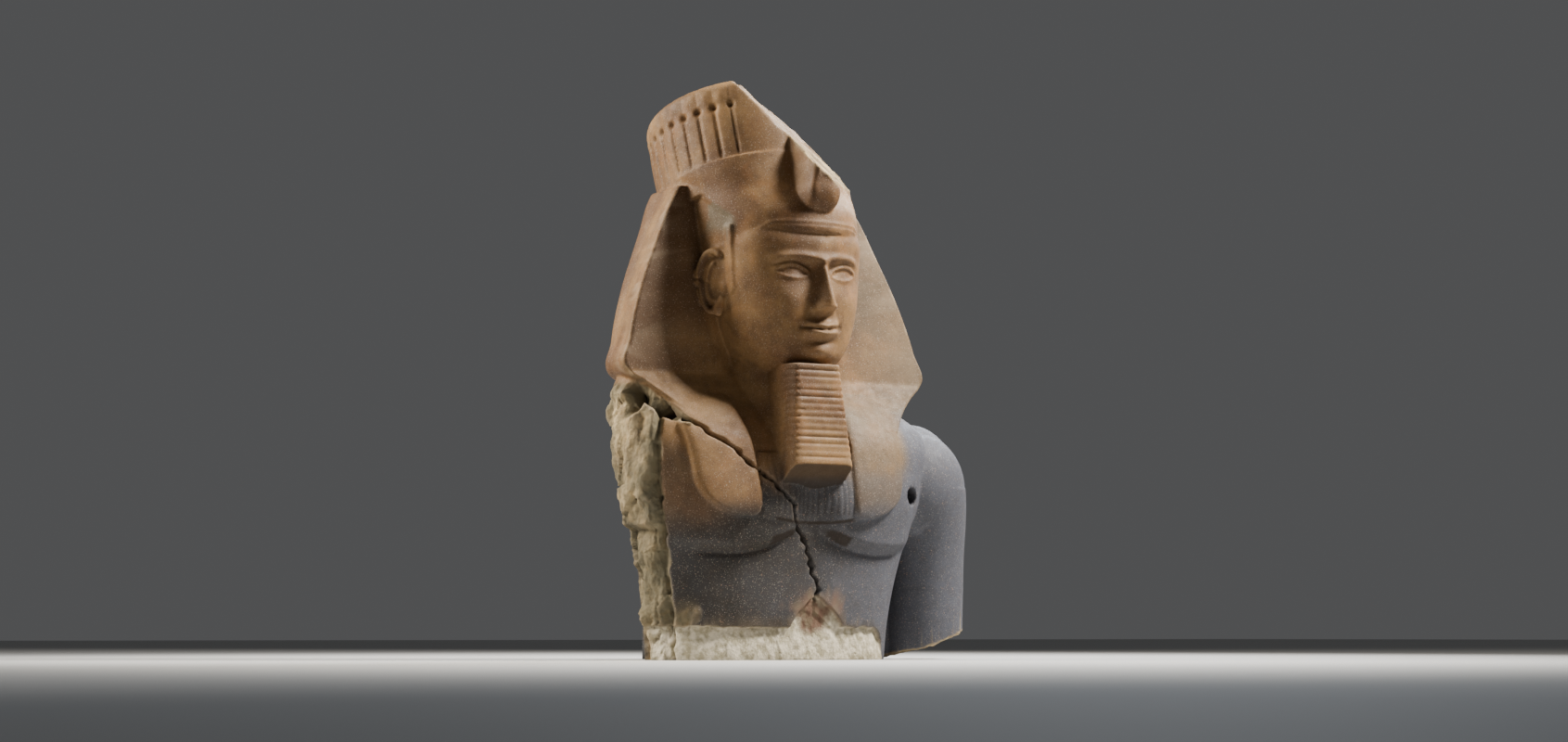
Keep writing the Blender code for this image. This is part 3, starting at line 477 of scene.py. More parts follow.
def wing_sizes(z):
    """Half width, y of the front face, and y of the back of the headcloth at a height."""
    levels = (10.6, 11.6, 12.3, WING_CREASE_Z, 14.6, 16.8, 19.3, 20.8, WING_TOP_Z)
    half = curve(z, levels, (5.6, 6.5, 7.35, 8.3, 8.05, 7.35, 6.2, 5.45, 4.8))
    front = np.interp(z, levels, (-1.75, -1.0, -0.45, 0.05, 0.25, 0.55, 0.9, 1.1, 1.3))
    back = curve(z, levels, (4.6, 4.6, 4.7, 4.8, 5.2, 5.7, 6.2, 6.4, 6.3))
    return half, front, back


def add_headcloth_wings(bm):
    rings = []
    for z in np.linspace(10.6, WING_TOP_Z, 130):
        half, front, back = wing_sizes(z)
        shoulder = front + 2.4
        side_x = half - 0.75 + 0.25 * smooth_step(z, 20.0, WING_TOP_Z)
        front_x = np.linspace(0, half - 0.12, 40)
        edge = [(half - 0.12, front), (half, front + 0.12)]
        shares = np.linspace(0, 1, 12)
        side = [(half + (side_x - half) * t, front + 0.12 + (shoulder - front - 0.12) * t) for t in shares]
        turn = np.linspace(0, math.pi / 2, 30)[1:]
        round_back = [
            (side_x * math.cos(a) ** 0.75, shoulder + (back - shoulder) * math.sin(a) ** 0.9) for a in turn
        ]
        inner = 0.35 * (1 - smooth_step(front_x, 2.3, 3.6)) * smooth_step(z, 12.9, 13.5)
        right = list(zip(front_x, front + inner))[:-1] + edge + side[1:] + round_back
        left = [(-x, y) for x, y in reversed(right[1:-1])]
        ring = [(x, y, z) for x, y in right + left]
        rings.append(ring)
    add_loft(bm, rings)


def cap_sizes(z):
    """Half width, front, back and widest place of the cap of the headcloth at a height."""
    levels = (HEADBAND_Z - 0.2, 20.6, 21.6, 22.4, 23.0, 23.8)
    half = curve(z, levels, (3.85, 4.1, 4.2, 4.45, 4.5, 4.45))
    front = curve(z, levels, (-3.5, -3.3, -2.5, -2.1, -1.9, -1.75))
    back = curve(z, levels, (6.3, 6.5, 6.6, 6.6, 6.6, 6.5))
    middle = curve(z, levels, (1.2, 1.3, 1.6, 2.0, 2.3, 2.4))
    return half, front, back, middle


def temple_recess(y, z):
    """The hollow facet behind the temple, between the cap's fold and the wing."""
    fold_y = -1.3 + 1.5 * np.clip(z - 20.2, 0, 2.0)
    return 0.12 * smooth_step(y, fold_y, fold_y + 0.6) * (1 - smooth_step(z, 21.5, 22.0))


def add_cap(bm):
    """The cap comes down behind the temples as far as the ears, and closes round the crown's foot."""
    rings = []
    for z in np.linspace(HEADBAND_Z - 0.2, 23.8, 90):
        half, front, back, middle = cap_sizes(z)
        fold = 0.06 * bump(z - HEADBAND_Z, 0.07) + 0.06 * bump(z - HEADBAND_Z - 0.22, 0.07)
        ring = oval(300, -half - fold, half + fold, front - fold, back, middle, z, 2.1)
        droop = TEMPLE_DROP * smooth_step(ring[:, 1], -2.9, -1.3) * (1 - smooth_step(z, HEADBAND_Z, 21.4))
        ring[:, 2] -= droop
        side = smooth_step(np.abs(ring[:, 0]), 2.6, 3.4)
        ring[:, 0] -= np.sign(ring[:, 0]) * side * temple_recess(ring[:, 1], ring[:, 2])
        rings.append(ring)
    faces = add_loft(bm, rings)
    axis = (0.0, math.sin(CROWN_LEAN), math.cos(CROWN_LEAN))
    faces = cut_flat(bm, faces, crown_point(0.0, 0.0, CAP_RIM_UP), axis)
    cut_flat(bm, faces, CROWN_BREAK_POINT, CROWN_BREAK_NORMAL)


def add_cheek_tab(bm, side):
    """The flat tab of the headcloth that hangs in front of the ear."""
    rings = []
    for z in np.linspace(16.7, 19.8, 30):
        wide = 0.30 * math.sqrt(min(1.0, (z - 16.6) / 0.4))
        half = float(curve(z, (16.2, 17.2, 18.2, 19.8), (3.34, 3.44, 3.50, 3.62)))
        left, right = sorted((side * (half - 0.5), side * (half + 0.06)))
        rings.append(oval(24, left, right, -0.95 - wide, -0.95 + wide, -0.95, z, 5.0))
    add_loft(bm, rings)


def crown_point(angle, out, up):
    """Angle 0 is the front, and positive angles go to the figure's left."""
    x = out * math.sin(angle)
    forward = -out * math.cos(angle)
    y = forward * math.cos(CROWN_LEAN) + up * math.sin(CROWN_LEAN)
    z = -forward * math.sin(CROWN_LEAN) + up * math.cos(CROWN_LEAN)
    return (CROWN_FOOT[0] + x, CROWN_FOOT[1] + y, CROWN_FOOT[2] + z)


def crown_relief(angle, up):
    """A groove below each gap between two cobras, a drilled pit at its head, and faint lines above."""
    worn = smooth_step(angle, CROWN_WORN_FROM - 0.06, CROWN_WORN_FROM + 0.06)
    worn *= 1 - smooth_step(angle, CROWN_WORN_TO - 0.06, CROWN_WORN_TO + 0.06)
    turn = (angle + COBRA_TURN) * COBRAS_ROUND / (2 * math.pi)
    away = np.abs(turn - np.floor(turn) - 0.5) * 2 * math.pi / COBRAS_ROUND * CROWN_RADIUS
    groove = 0.14 * bump(away, 0.065) * smooth_step(up, -0.4, 0.1) * (1 - smooth_step(up, 1.9, 2.2))
    pit = 0.26 * bump(np.hypot(away, (up - COBRA_HEAD_UP) * 0.9), 0.15)
    line = 0.05 * bump(away, 0.06) * smooth_step(up, 2.5, 2.7)
    disc = 0.05 * bump(away - 0.40, 0.17) * bump(up - COBRA_HEAD_UP - 0.55, 0.25)
    return (groove + pit + line - disc) * (1 - worn)


def add_crown(bm):
    """A ring of upright cobras, worn plain and broken away at one side."""
    angles = np.linspace(-math.pi, math.pi, 700, endpoint=False)
    rings = []
    for up in np.linspace(-1.6, CROWN_HEIGHT, 80):
        share = up / CROWN_HEIGHT
        rounding = 0.30 * max(0.0, (share - 0.88) / 0.12) ** 2
        out = CROWN_RADIUS + 0.05 * math.sin(math.pi * max(share, 0)) - rounding
        outs = out - crown_relief(angles, up)
        rings.append([crown_point(angle, reach, up) for angle, reach in zip(angles, outs)])
    faces = add_loft(bm, rings)
    cut_flat(bm, faces, CROWN_BREAK_POINT, CROWN_BREAK_NORMAL)


def add_uraeus(bm):
    """The stump of the cobra at the brow: a deep upright strip that flares to a rounded foot."""
    rings = []
    for z in np.linspace(20.4, 24.4, 50):
        half = curve(z, (20.4, 20.7, 21.2, 22.0, 24.4), (0.45, 0.72, 0.86, 0.72, 0.60))
        front = curve(z, (20.4, 20.8, 21.2, 22.0, 23.2, 24.4), (-3.35, -3.65, -3.8, -3.8, -3.75, -3.7))
        ring = oval(56, -half, half, front, 0.0, front + 0.5, z, 4.0)
        ridge_x = curve(z, (20.8, 23.4), (0.40, -0.45))
        ring[:, 1] -= 0.06 * bump(ring[:, 0] - ridge_x, 0.35) * (ring[:, 1] < front + 0.3)
        rings.append(ring)
    faces = add_loft(bm, rings)
    cut_flat(bm, faces, CROWN_BREAK_POINT, CROWN_BREAK_NORMAL)


def add_beard(bm):
    """The plaited beard, wider and further forward towards its foot, and its bridge to the chest."""
    pitch = (BEARD_TOP_Z - BEARD_FOOT_Z) / (BEARD_RIBS + 1)
    rings = []
    for share in np.linspace(0, 1, 150):
        ring = oval(88, -1, 1, -1, 1, 0, 0, 9.0)
        half = 1.72 - 0.42 * share
        front = -3.90 + 0.50 * share
        back = -1.0
        x = BEARD_X + ring[:, 0] * half
        y = (front + back) / 2 + ring[:, 1] * (back - front) / 2
        foot = BEARD_FOOT_Z - 0.85 * (y - front)
        z = foot + share * (BEARD_TOP_Z - foot)
        rib = np.abs(np.sin(math.pi * (z - BEARD_FOOT_Z) / pitch))
        groove = BEARD_GROOVE * (1 - smooth_step(rib, 0.0, 0.6)) * smooth_step(-ring[:, 1], 0.2, 0.6)
        groove *= smooth_step(z, BEARD_FOOT_Z + 0.15, BEARD_FOOT_Z + 0.3) * (1 - smooth_step(z, 13.1, 13.3))
        shrink = 1 - groove
        rings.append(np.stack([BEARD_X + (x - BEARD_X) * shrink, -1.6 + (y + 1.6) * shrink, z], axis=1))
    add_loft(bm, rings)


def add_lappet(bm, side):
    """The hanging front end of the headcloth, a slab that follows the chest."""
    levels = LAPPET_FOOT_Z + np.array((0, 0.12, 0.4, 0.8, 1.4, 2.5, 4.0, 5.1, 6.1))
    rings = []
    foot = np.linspace(levels[0], levels[3], 24)
    for z in np.concatenate((foot, np.linspace(levels[3], levels[-1], 60)[1:])):
        inner = curve(z, levels, (3.0, 2.75, 2.62, 2.6, 2.62, 2.66, 2.8, 3.0, 3.1))
        outer = curve(z, levels, (3.6, 4.15, 4.8, 5.3, 5.6, 5.72, 5.95, 6.4, 7.0))
        xs = np.linspace(inner, outer, 24) * side + LAPPETS_MIDDLE_X
        front = chest_front(xs, np.full(24, z)) - LAPPET_THICKNESS
        edge = np.minimum(np.arange(24), np.arange(24)[::-1])
        front += np.array([0.10, 0.03] + [0] * 22)[edge]
        ring = [(x, y, z) for x, y in zip(xs, front)]
        ring += [(x, y + 1.2, z) for x, y in zip(xs[::-1], front[::-1])]
        rings.append(ring)
    add_loft(bm, rings)


def add_collar(bm):
    """The broad collar between the lappets, with its upright strokes."""
    count = 90
    xs = np.linspace(-2.9, 2.9, count)
    rings = []
    for z in np.linspace(6.15, 9.4, 50):
        stroke = np.abs(np.sin(math.pi * xs / 0.30))
        depth = 0.11 * (1 - smooth_step(stroke, 0.0, 0.6)) * smooth_step(z, 6.55, 6.65)
        hang = smooth_step(z, 6.15 + 0.12 * xs**2 * 0.3, 6.30 + 0.12 * xs**2 * 0.3)
        front = chest_front(xs, np.full(count, z)) - 0.12 * hang + depth * hang
        ring = [(x, y, z) for x, y in zip(xs, front)]
        ring += [(x, y + 1.2, z) for x, y in zip(xs[::-1], front[::-1])]
        rings.append(ring)
    add_loft(bm, rings)


def add_back_pillar(bm):
    rings = []
    for z, half in ((-0.5, 3.9), (11.0, 3.8), (21.5, 3.3), (22.6, 3.0)):
        rings.append(oval(48, -half, half, 1.5, 6.3, 3.5, z, 9.0))
    add_loft(bm, rings)


def drill_depth(x, z):
    """How deep the drilled hole goes at a place on the front."""
    away = np.hypot(x - DRILL_HOLE_AT[0], z - DRILL_HOLE_AT[1])
    radius = DRILL_HOLE_DIAMETER / 2 / SQUARE
    return DRILL_HOLE_DEPTH / SQUARE * (1 - smooth_step(away, radius * 0.85, radius * 1.1))


def crack_distance(x, z):
    """How far a place on the front lies from the long crack."""
    best = np.full(x.shape, 99.0)
    path = list(zip(CRACK_X, CRACK_Z))
    for (ax, az), (bx, bz) in zip(path, path[1:]):
        dx, dz = bx - ax, bz - az
        t = np.clip(((x - ax) * dx + (z - az) * dz) / (dx * dx + dz * dz), 0, 1)
        best = np.minimum(best, np.hypot(x - ax - t * dx, z - az - t * dz))
    return best


def crack_wander(z):
    return 0.10 * np.sin(5.1 * z) + 0.05 * np.sin(13.0 * z + 1.0)


def roughness(points, size, octaves):
    """Flaked stone: a tilted facet in every cell of a random pattern, and finer grain on it."""
    heights = []
    for point in points:
        place = Vector(point) / size
        place.z *= 0.6
        cell = noise.voronoi(place)[1][0]
        tilt = noise.cell_vector(cell * 7.0) - Vector((0.5, 0.5, 0.5))
        facet = (place - cell).dot(tilt)
        heights.append(0.9 * facet + 0.55 * noise.fractal(place * 1.7, 0.9, 2.1, octaves))
    return np.array(heights)


def arm_stump_x(z):
    """How far in the break of the lost arm reaches from its side."""
    return np.interp(z, (0.0, 3.0, 6.0, 8.0, 10.0, 11.0, 12.2), (-6.2, -6.45, -6.9, -7.3, -7.3, -7.0, -7.6))


def crevice(x, z):
    """The deep wedge that runs in from the broken shoulder to the head of the crack, 1 at its bottom."""
    bottom = np.interp(x, (-8.4, -7.6, -7.0, -6.5, -5.8), (10.8, 11.75, 11.2, 11.0, 10.65))
    top = np.interp(x, (-8.4, -8.1, -7.3, -6.6, -5.8), (13.3, 12.97, 12.3, 11.55, 10.8))
    above = 1 - (z - bottom) / np.maximum(top - bottom, 0.15)
    below = 1 - (bottom - z) / 0.3
    return np.clip(np.where(z > bottom, above, below), 0, 1) * (1 - smooth_step(x, -6.6, -5.6))


def ragged(points):
    """An uneven value between about -1 and 1 for the edges of the breaks."""
    return np.array([noise.fractal(Vector(point) / 0.9, 0.8, 2.1, 3) for point in points])


def broken_share(points):
    """Where the stone is broken and rough: 1 on a break and 0 on the carved skin."""
    x, y, z = points.T
    uneven = np.zeros(len(points))
    low = z < 13.3
    uneven[low] = ragged(points[low])
    edge = arm_stump_x(z) + 0.14 * uneven
    arm_stump = (1 - smooth_step(x, edge - 0.06, edge + 0.06)) * (1 - smooth_step(z, 12.2, 12.8))
    chip = smooth_step(crevice(x, z), 0.0, 0.15) * (1 - smooth_step(y, 0.4, 1.2))
    lumps = (1 - smooth_step(x + 0.3 * uneven, -5.9, -5.4)) * bump(z - 1.8, 0.55)
    past = (points - CROWN_BREAK_POINT) @ np.array(CROWN_BREAK_NORMAL)
    crown = smooth_step(past, -0.10, 0.0)
    patch = PATCH_HEIGHT * np.clip(1 - np.abs(x - PATCH_X) / PATCH_HALF_WIDTH, 0, 1) ** 0.7
    band_top = BAND_TOP_Z + patch + 0.10 * uneven
    corner = np.hypot(np.maximum(x - 3.9, 0), np.maximum(z - BAND_TOP_Z + 0.9, 0))
    band = 1 - smooth_step(z, band_top - 0.06, band_top + 0.06)
    band *= np.where(x > 3.9, 1 - smooth_step(corner, 0.87, 0.99), 1.0)
    band *= 1 - smooth_step(y, 0.6, 1.6)
    arm_foot = smooth_step(x, 5.9, 6.5) * (1 - smooth_step(z - arm_break_z(x) + 0.08 * uneven, 0.04, 0.16))
    return np.maximum(arm_stump, chip), lumps, crown, band, arm_foot


def carve(points, normals):
    """Moves the fused skin in grid squares: breaks, crack and drilled hole."""
    x, y, z = points.T
    stump, lumps, crown, band, arm_foot = broken_share(points)
    depth = 0.42 * stump + 0.36 * lumps + 0.12 * crown + 0.12 * band + 0.2 * arm_foot
    rough = np.zeros(len(points))
    near = depth > 0.005
    rough[near] = roughness(points[near], BREAK_GRAIN, 5)
    inside = arm_stump_x(z) - x
    channel = 0.24 * bump(inside - 0.10, 0.12) - 0.16 * bump(inside - 0.42, 0.16)
    move = rough * depth - stump * channel
    move -= band * (0.30 * smooth_step(z, 0.0, BAND_TOP_Z) - 0.05)
    below = 1 - smooth_step(z, BROKEN_STEP_Z - 0.2, BROKEN_STEP_Z + 0.2)
    move -= BROKEN_STEP * below * smooth_step(inside, -0.1, 0.7)
    move -= 0.8 * crevice(x, z) * (1 - smooth_step(y, 0.2, 0.9))
    front = (normals[:, 1] < -0.2) & (y < 0.5)
    wide = CRACK_HALF_WIDTH * (1 + 0.5 * np.sin(3.3 * z) * np.sin(7.7 * z))
    move -= 0.30 * bump(crack_distance(x + crack_wander(z), z), wide) * front
    result = points + normals * move[:, None]
    result[:, 1] += drill_depth(x, z) * front
    return result


def fused_skin(bm):
    """One skin round all the masses, with the finer carving on it and few enough faces."""
    mesh = bpy.data.meshes.new("masses")
    bm.to_mesh(mesh)
    bm.free()
    masses = bpy.data.objects.new("masses", mesh)
    bpy.context.scene.collection.objects.link(masses)
    remesh = masses.modifiers.new("fuse", "REMESH")
    remesh.mode = "VOXEL"
    remesh.voxel_size = SKIN_VOXEL
    smooth = masses.modifiers.new("soften", "SMOOTH")
    smooth.factor = 0.5
    smooth.iterations = 2
    graph = bpy.context.evaluated_depsgraph_get()
    skin = bpy.data.meshes.new_from_object(masses.evaluated_get(graph))
    bpy.data.objects.remove(masses)
    return skin


def move_skin(skin):
    count = len(skin.vertices)
    points = np.empty(count * 3, np.float32)
    normals = np.empty(count * 3, np.float32)
    skin.vertices.foreach_get("co", points)
    skin.vertices.foreach_get("normal", normals)
    carved = carve(points.reshape(-1, 3) / SQUARE, normals.reshape(-1, 3)) * SQUARE
    skin.vertices.foreach_set("co", carved.astype(np.float32).ravel())
    skin.update()


def thin_out(skin):
    """Fewer faces where the surface is plain."""
    thick = bpy.data.objects.new("skin", skin)
    bpy.context.scene.collection.objects.link(thick)
    decimate = thick.modifiers.new("thin", "DECIMATE")
    decimate.ratio = SKIN_TRIANGLES / sum(len(face.vertices) - 2 for face in skin.polygons)
    decimate.use_collapse_triangulate = True
    graph = bpy.context.evaluated_depsgraph_get()
    thin = bpy.data.meshes.new_from_object(thick.evaluated_get(graph))
    bpy.data.objects.remove(thick)
    return thin


def flat_underside(bm):
    result = bmesh.ops.bisect_plane(
        bm,
        geom=bm.verts[:] + bm.edges[:] + bm.faces[:],
        plane_co=(0, 0, 0),
        plane_no=(0, 0, -1),
        clear_outer=True,
    )
    rim = [item for item in result["geom_cut"] if isinstance(item, bmesh.types.BMEdge)]
    bmesh.ops.holes_fill(bm, edges=rim, sides=0)
    for vert in bm.verts:
        if abs(vert.co.z) < 1e-5:
            vert.co.z = 0.0


def add_masses(bm):
    """Every form of the figure as a closed body that overlaps its neighbours."""
    add_torso(bm)
    add_arm(bm)
    add_broken_shoulder(bm)
    add_neck(bm)
    add_head(bm)
    add_headcloth_wings(bm)
    add_cap(bm)
    add_crown(bm)
    add_uraeus(bm)
    add_beard(bm)
    add_collar(bm)
    add_back_pillar(bm)
    for side in (-1, 1):
        add_cheek_tab(bm, side)
        add_ear(bm, side)
        add_lappet(bm, side)




def named_node(tree, kind, **inputs):
    node = tree.nodes.new(kind)
    for name, value in inputs.items():
        node.inputs[name.replace("_", " ")].default_value = value
    return node


def noise_node(tree, place, scale, detail=4.0, rough=0.55):
    node = named_node(tree, "ShaderNodeTexNoise", Scale=scale, Detail=detail, Roughness=rough)
    tree.links.new(place, node.inputs["Vector"])
    return node.outputs["Fac"]


def spread(tree, value, low, high, to_low=0.0, to_high=1.0):
    node = named_node(tree, "ShaderNodeMapRange", From_Min=low, From_Max=high, To_Min=to_low, To_Max=to_high)
    tree.links.new(value, node.inputs["Value"])
    return node.outputs["Result"]


def mixed(tree, share, first, second, blend="MIX"):
    node = tree.nodes.new("ShaderNodeMix")
    node.data_type = "RGBA"
    node.blend_type = blend
    for socket, value in ((node.inputs[0], share), (node.inputs[6], first), (node.inputs[7], second)):
        if isinstance(value, bpy.types.NodeSocket):
            tree.links.new(value, socket)
        else:
            socket.default_value = value
    return node.outputs[2]


def times(tree, first, second, operation="MULTIPLY"):
    node = tree.nodes.new("ShaderNodeMath")
    node.operation = operation
    for socket, value in ((node.inputs[0], first), (node.inputs[1], second)):
        if isinstance(value, bpy.types.NodeSocket):
            tree.links.new(value, socket)
        else:
            socket.default_value = value
    return node.outputs[0]


def mask(tree, name):
    node = tree.nodes.new("ShaderNodeAttribute")
    node.attribute_name = name
    return node.outputs["Fac"]


def granite_material():
    """Two-tone granite: warm on the head and headcloth, dark grey on the chest, pale where it is broken, with
    painted shade in hollows and on shaded faces and painted highlight on crests.
    """
    material = bpy.data.materials.new("granite")
    material.use_nodes = True
    tree = material.node_tree
    shader = tree.nodes["Principled BSDF"]
    place = tree.nodes.new("ShaderNodeTexCoord").outputs["Object"]
    cloud = noise_node(tree, place, 2.3, 5.0, 0.6)
    patch = noise_node(tree, place, 7.0, 5.0, 0.6)
    blotch = noise_node(tree, place, 26.0, 4.0, 0.6)
    fleck = noise_node(tree, place, 190.0, 2.0, 0.5)
    spark = noise_node(tree, place, 95.0, 2.0, 0.5)
    grain = noise_node(tree, place, 420.0, 3.0, 0.6)

    warm = mixed(tree, spread(tree, cloud, 0.40, 0.64), WARM_DARK, WARM_LIGHT)
    warm = mixed(tree, spread(tree, patch, 0.50, 0.78, 0.0, 0.5), warm, WARM_ORANGE)
    grey = mixed(tree, spread(tree, cloud, 0.35, 0.65), GREY_DARK, GREY_BLUE)
    grey = mixed(tree, spread(tree, patch, 0.52, 0.80, 0.0, 0.4), grey, GREY_BROWN)
    grey = mixed(tree, times(tree, mask(tree, "cool"), 0.75), grey, GREY_COOL)
    # Greyer colour as painted shade on the temple's facet and one wing.
    warm = mixed(tree, mask(tree, "dull"), warm, mixed(tree, cloud, WARM_GREEN, WARM_GREY))
    # Darker brown as painted shadow on one wing and painted shade on the beard's flanks, and darker patches.
    warm = mixed(tree, mask(tree, "dark"), warm, mixed(tree, cloud, DEEP_BROWN, WARM_DARK))
    stone = mixed(tree, mask(tree, "warm"), grey, warm)
    stone = mixed(tree, spread(tree, blotch, 0.42, 0.70, 0.0, 0.22), stone, BLOTCH)
    stone = mixed(tree, spread(tree, fleck, 0.60, 0.72, 0.0, 0.55), stone, FLECK_LIGHT)
    stone = mixed(tree, spread(tree, spark, 0.66, 0.74, 0.0, 0.5), stone, FLECK_PINK)
    stone = mixed(tree, spread(tree, fleck, 0.40, 0.30, 0.0, 0.5), stone, FLECK_DARK)

    raw = mixed(tree, spread(tree, patch, 0.38, 0.66), BREAK_GREY, BREAK_CREAM)
    raw = mixed(tree, spread(tree, blotch, 0.50, 0.70, 0.0, 0.6), raw, BREAK_OCHRE)
    raw = mixed(tree, times(tree, mask(tree, "green"), 0.75), raw, BREAK_GREEN)
    pale = mixed(tree, spread(tree, blotch, 0.40, 0.62), BAND_DULL, BAND_WHITE)
    raw = mixed(tree, mask(tree, "band"), raw, pale)
    stone = mixed(tree, mask(tree, "broken"), stone, raw)
    red = mixed(tree, spread(tree, blotch, 0.40, 0.65), RED_PATCH, PATCH_BROWN)
    stone = mixed(tree, mask(tree, "red"), stone, red)
    # Painted shade in hollows, the crack, the drilled hole, the collar's grooves and under the beard.
    stone = mixed(tree, times(tree, mask(tree, "hollow"), 0.85), stone, HOLLOW_SHADE_COLOUR)
    # Painted highlight on crests, and worn chips on the wings' edges.
    stone = mixed(tree, times(tree, mask(tree, "crest"), 0.35), stone, CREST_HIGHLIGHT_AND_CHIPS)
    tree.links.new(stone, shader.inputs["Base Color"])

    dull = spread(tree, blotch, 0.3, 0.7, 0.55, 0.75)
    rough = times(tree, dull, times(tree, mask(tree, "broken"), 0.35), "ADD")
    rough = times(tree, rough, times(tree, mask(tree, "hollow"), 0.3), "ADD")
    tree.links.new(rough, shader.inputs["Roughness"])
    shader.inputs["Specular IOR Level"].default_value = 0.25

    height = times(tree, grain, times(tree, fleck, 0.8), "ADD")
    fine = tree.nodes.new("ShaderNodeBump")
    fine.inputs["Distance"].default_value = 0.0012
    fine.inputs["Strength"].default_value = 0.35
    tree.links.new(height, fine.inputs["Height"])
    coarse = tree.nodes.new("ShaderNodeBump")
    coarse.inputs["Distance"].default_value = 0.012
    tree.links.new(times(tree, mask(tree, "broken"), 0.9), coarse.inputs["Strength"])
    tree.links.new(noise_node(tree, place, 45.0, 6.0, 0.65), coarse.inputs["Height"])
    tree.links.new(fine.outputs["Normal"], coarse.inputs["Normal"])
    tree.links.new(coarse.outputs["Normal"], shader.inputs["Normal"])
    return material


def lappet_share(x, z):
    """1 on the two hanging ends of the headcloth."""
    away = np.abs(x - LAPPETS_MIDDLE_X)
    outer = np.interp(z, (6.5, 6.62, 6.9, 7.3, 7.9, 9.0, 11.0), (3.6, 4.15, 4.8, 5.3, 5.6, 5.72, 6.1))
    share = smooth_step(away, 2.50, 2.62) * (1 - smooth_step(away, outer, outer + 0.12))
    return share * smooth_step(z, 6.45, 6.6)


def warm_share(x, y, z, uneven):
    """How warm the stone's colour is: head, headcloth and beard, and less on the chest below."""
    drift = 0.5 * np.sin(0.9 * x + 1.3) + 0.5 * uneven
    chest = smooth_step(z, 7.6 + drift, 9.8 + drift)
    chest = np.maximum(chest, 0.55 * smooth_step(z, 5.2, 7.5) * (1 - smooth_step(x, -5.4, -3.6)))
    cloth = lappet_share(x, z) * np.where(x < 0, 1.0, 0.62) * smooth_step(z, 6.3, 7.6)
    beard = 1 - smooth_step(y, -3.3, -2.9)
    share = np.maximum.reduce([chest, cloth, beard * smooth_step(z, 7.5, 8.5)])
    arm = smooth_step(x, 5.5, 6.4) * (1 - smooth_step(z, 11.0, 11.9))
    return share * (1 - arm)


def grey_shade_share(x, y, z, uneven):
    """Where the warm stone turns grey, as painted shade: the temple's facet and the wing on the kept arm's
    side.
    """
    fold_y = -1.45 + 1.5 * np.clip(z - 20.2, 0, 2.0)
    # Painted shade on the temple's facet, which faces away from the light.
    temple = smooth_step(y, fold_y, fold_y + 0.3) * (1 - smooth_step(y, 1.2, 1.6)) * (x < 0) * (x > -3.9)
    temple = temple * smooth_step(z, 19.3, 19.8) * (1 - smooth_step(z, 21.5, 21.9))
    # Painted shade on the wing on the kept arm's side.
    wing = smooth_step(x, 3.4, 4.6) * smooth_step(y, -1.6, -0.9) * smooth_step(z, 10.0, 11.5)
    wing = np.maximum(wing, 0.9 * (x > 1.6) * (y > -3.2) * (z < 12.4))
    return np.maximum(0.75 * temple, (0.6 + 0.25 * uneven) * wing)


def shade_and_patch_share(x, y, z, normals, uneven):
    """Darker brown: painted shadow of the head on the front of the wing beside the broken shoulder, painted
    shade on the beard's flanks, a darker patch on the front of the crown's foot, and scattered darker
    patches.
    """
    facing = smooth_step(-normals[:, 1], 0.5, 0.8)
    # Painted shadow of the head on the front of the wing beside the broken shoulder.
    wing = (1 - smooth_step(x, -4.2, -3.4)) * facing * smooth_step(z, 12.9, 13.2)
    # Painted shade on the beard's flanks.
    beard_flank_shade = (1 - smooth_step(y, -3.0, -2.6)) * smooth_step(np.abs(normals[:, 0]), 0.6, 0.9) * (z < 13.4)
    crown = bump(x + 1.2, 1.5) * smooth_step(z, 21.6, 22.4) * (y < 0)
    patches = 0.45 * smooth_step(uneven, 0.1, 0.6) * (z > 12.5)
    wing = wing * (0.9 + 0.1 * uneven) * (y < 1.4)
    return np.maximum.reduce([wing, 0.6 * beard_flank_shade * (z > 8), 0.5 * crown, patches])


def worn_edge(x, y, z, uneven):
    """Pale chips along the outer edges of the headcloth's wings."""
    half = wing_sizes(z)[0]
    near = bump(np.abs(x) - half + 0.12, 0.22) * (y < 1.6) * (y > -1.2)
    near = near * smooth_step(uneven, -0.25, 0.45)
    return near * smooth_step(z, 12.6, 13.2) * (1 - smooth_step(z, 20.5, 21.5))


def shade_and_highlight_shares(skin, points, normals):
    """Painted shade in hollows and painted highlight on crests: how far each place lies in or out of its
    neighbourhood on the even, thick skin.
    """
    edges = np.empty(len(skin.edges) * 2, np.int32)
    skin.edges.foreach_get("vertices", edges)
    a, b = edges.reshape(-1, 2).T
    count = np.bincount(a, minlength=len(points)) + np.bincount(b, minlength=len(points))
    near = points.copy()
    for _ in range(CURVE_ROUNDS):
        total = np.zeros_like(near)
        for axis in range(3):
            from_b = np.bincount(a, near[b, axis], len(points))
            from_a = np.bincount(b, near[a, axis], len(points))
            total[:, axis] = from_b + from_a
        near = total / np.maximum(count, 1)[:, None]
    bend = ((points - near) * normals).sum(axis=1)
    return smooth_step(-bend, HOLLOW_SHADE_FROM, HOLLOW_SHADE_FULL), smooth_step(bend, RIDGE_HIGHLIGHT_FROM, RIDGE_HIGHLIGHT_FULL)


def skin_places(skin):
    """Places in grid squares, and normals."""
    points = np.empty(len(skin.vertices) * 3, np.float32)
    normals = np.empty(len(skin.vertices) * 3, np.float32)
    skin.vertices.foreach_get("co", points)
    skin.vertices.foreach_get("normal", normals)
    return points.reshape(-1, 3).astype(float) / SQUARE, normals.reshape(-1, 3).astype(float)


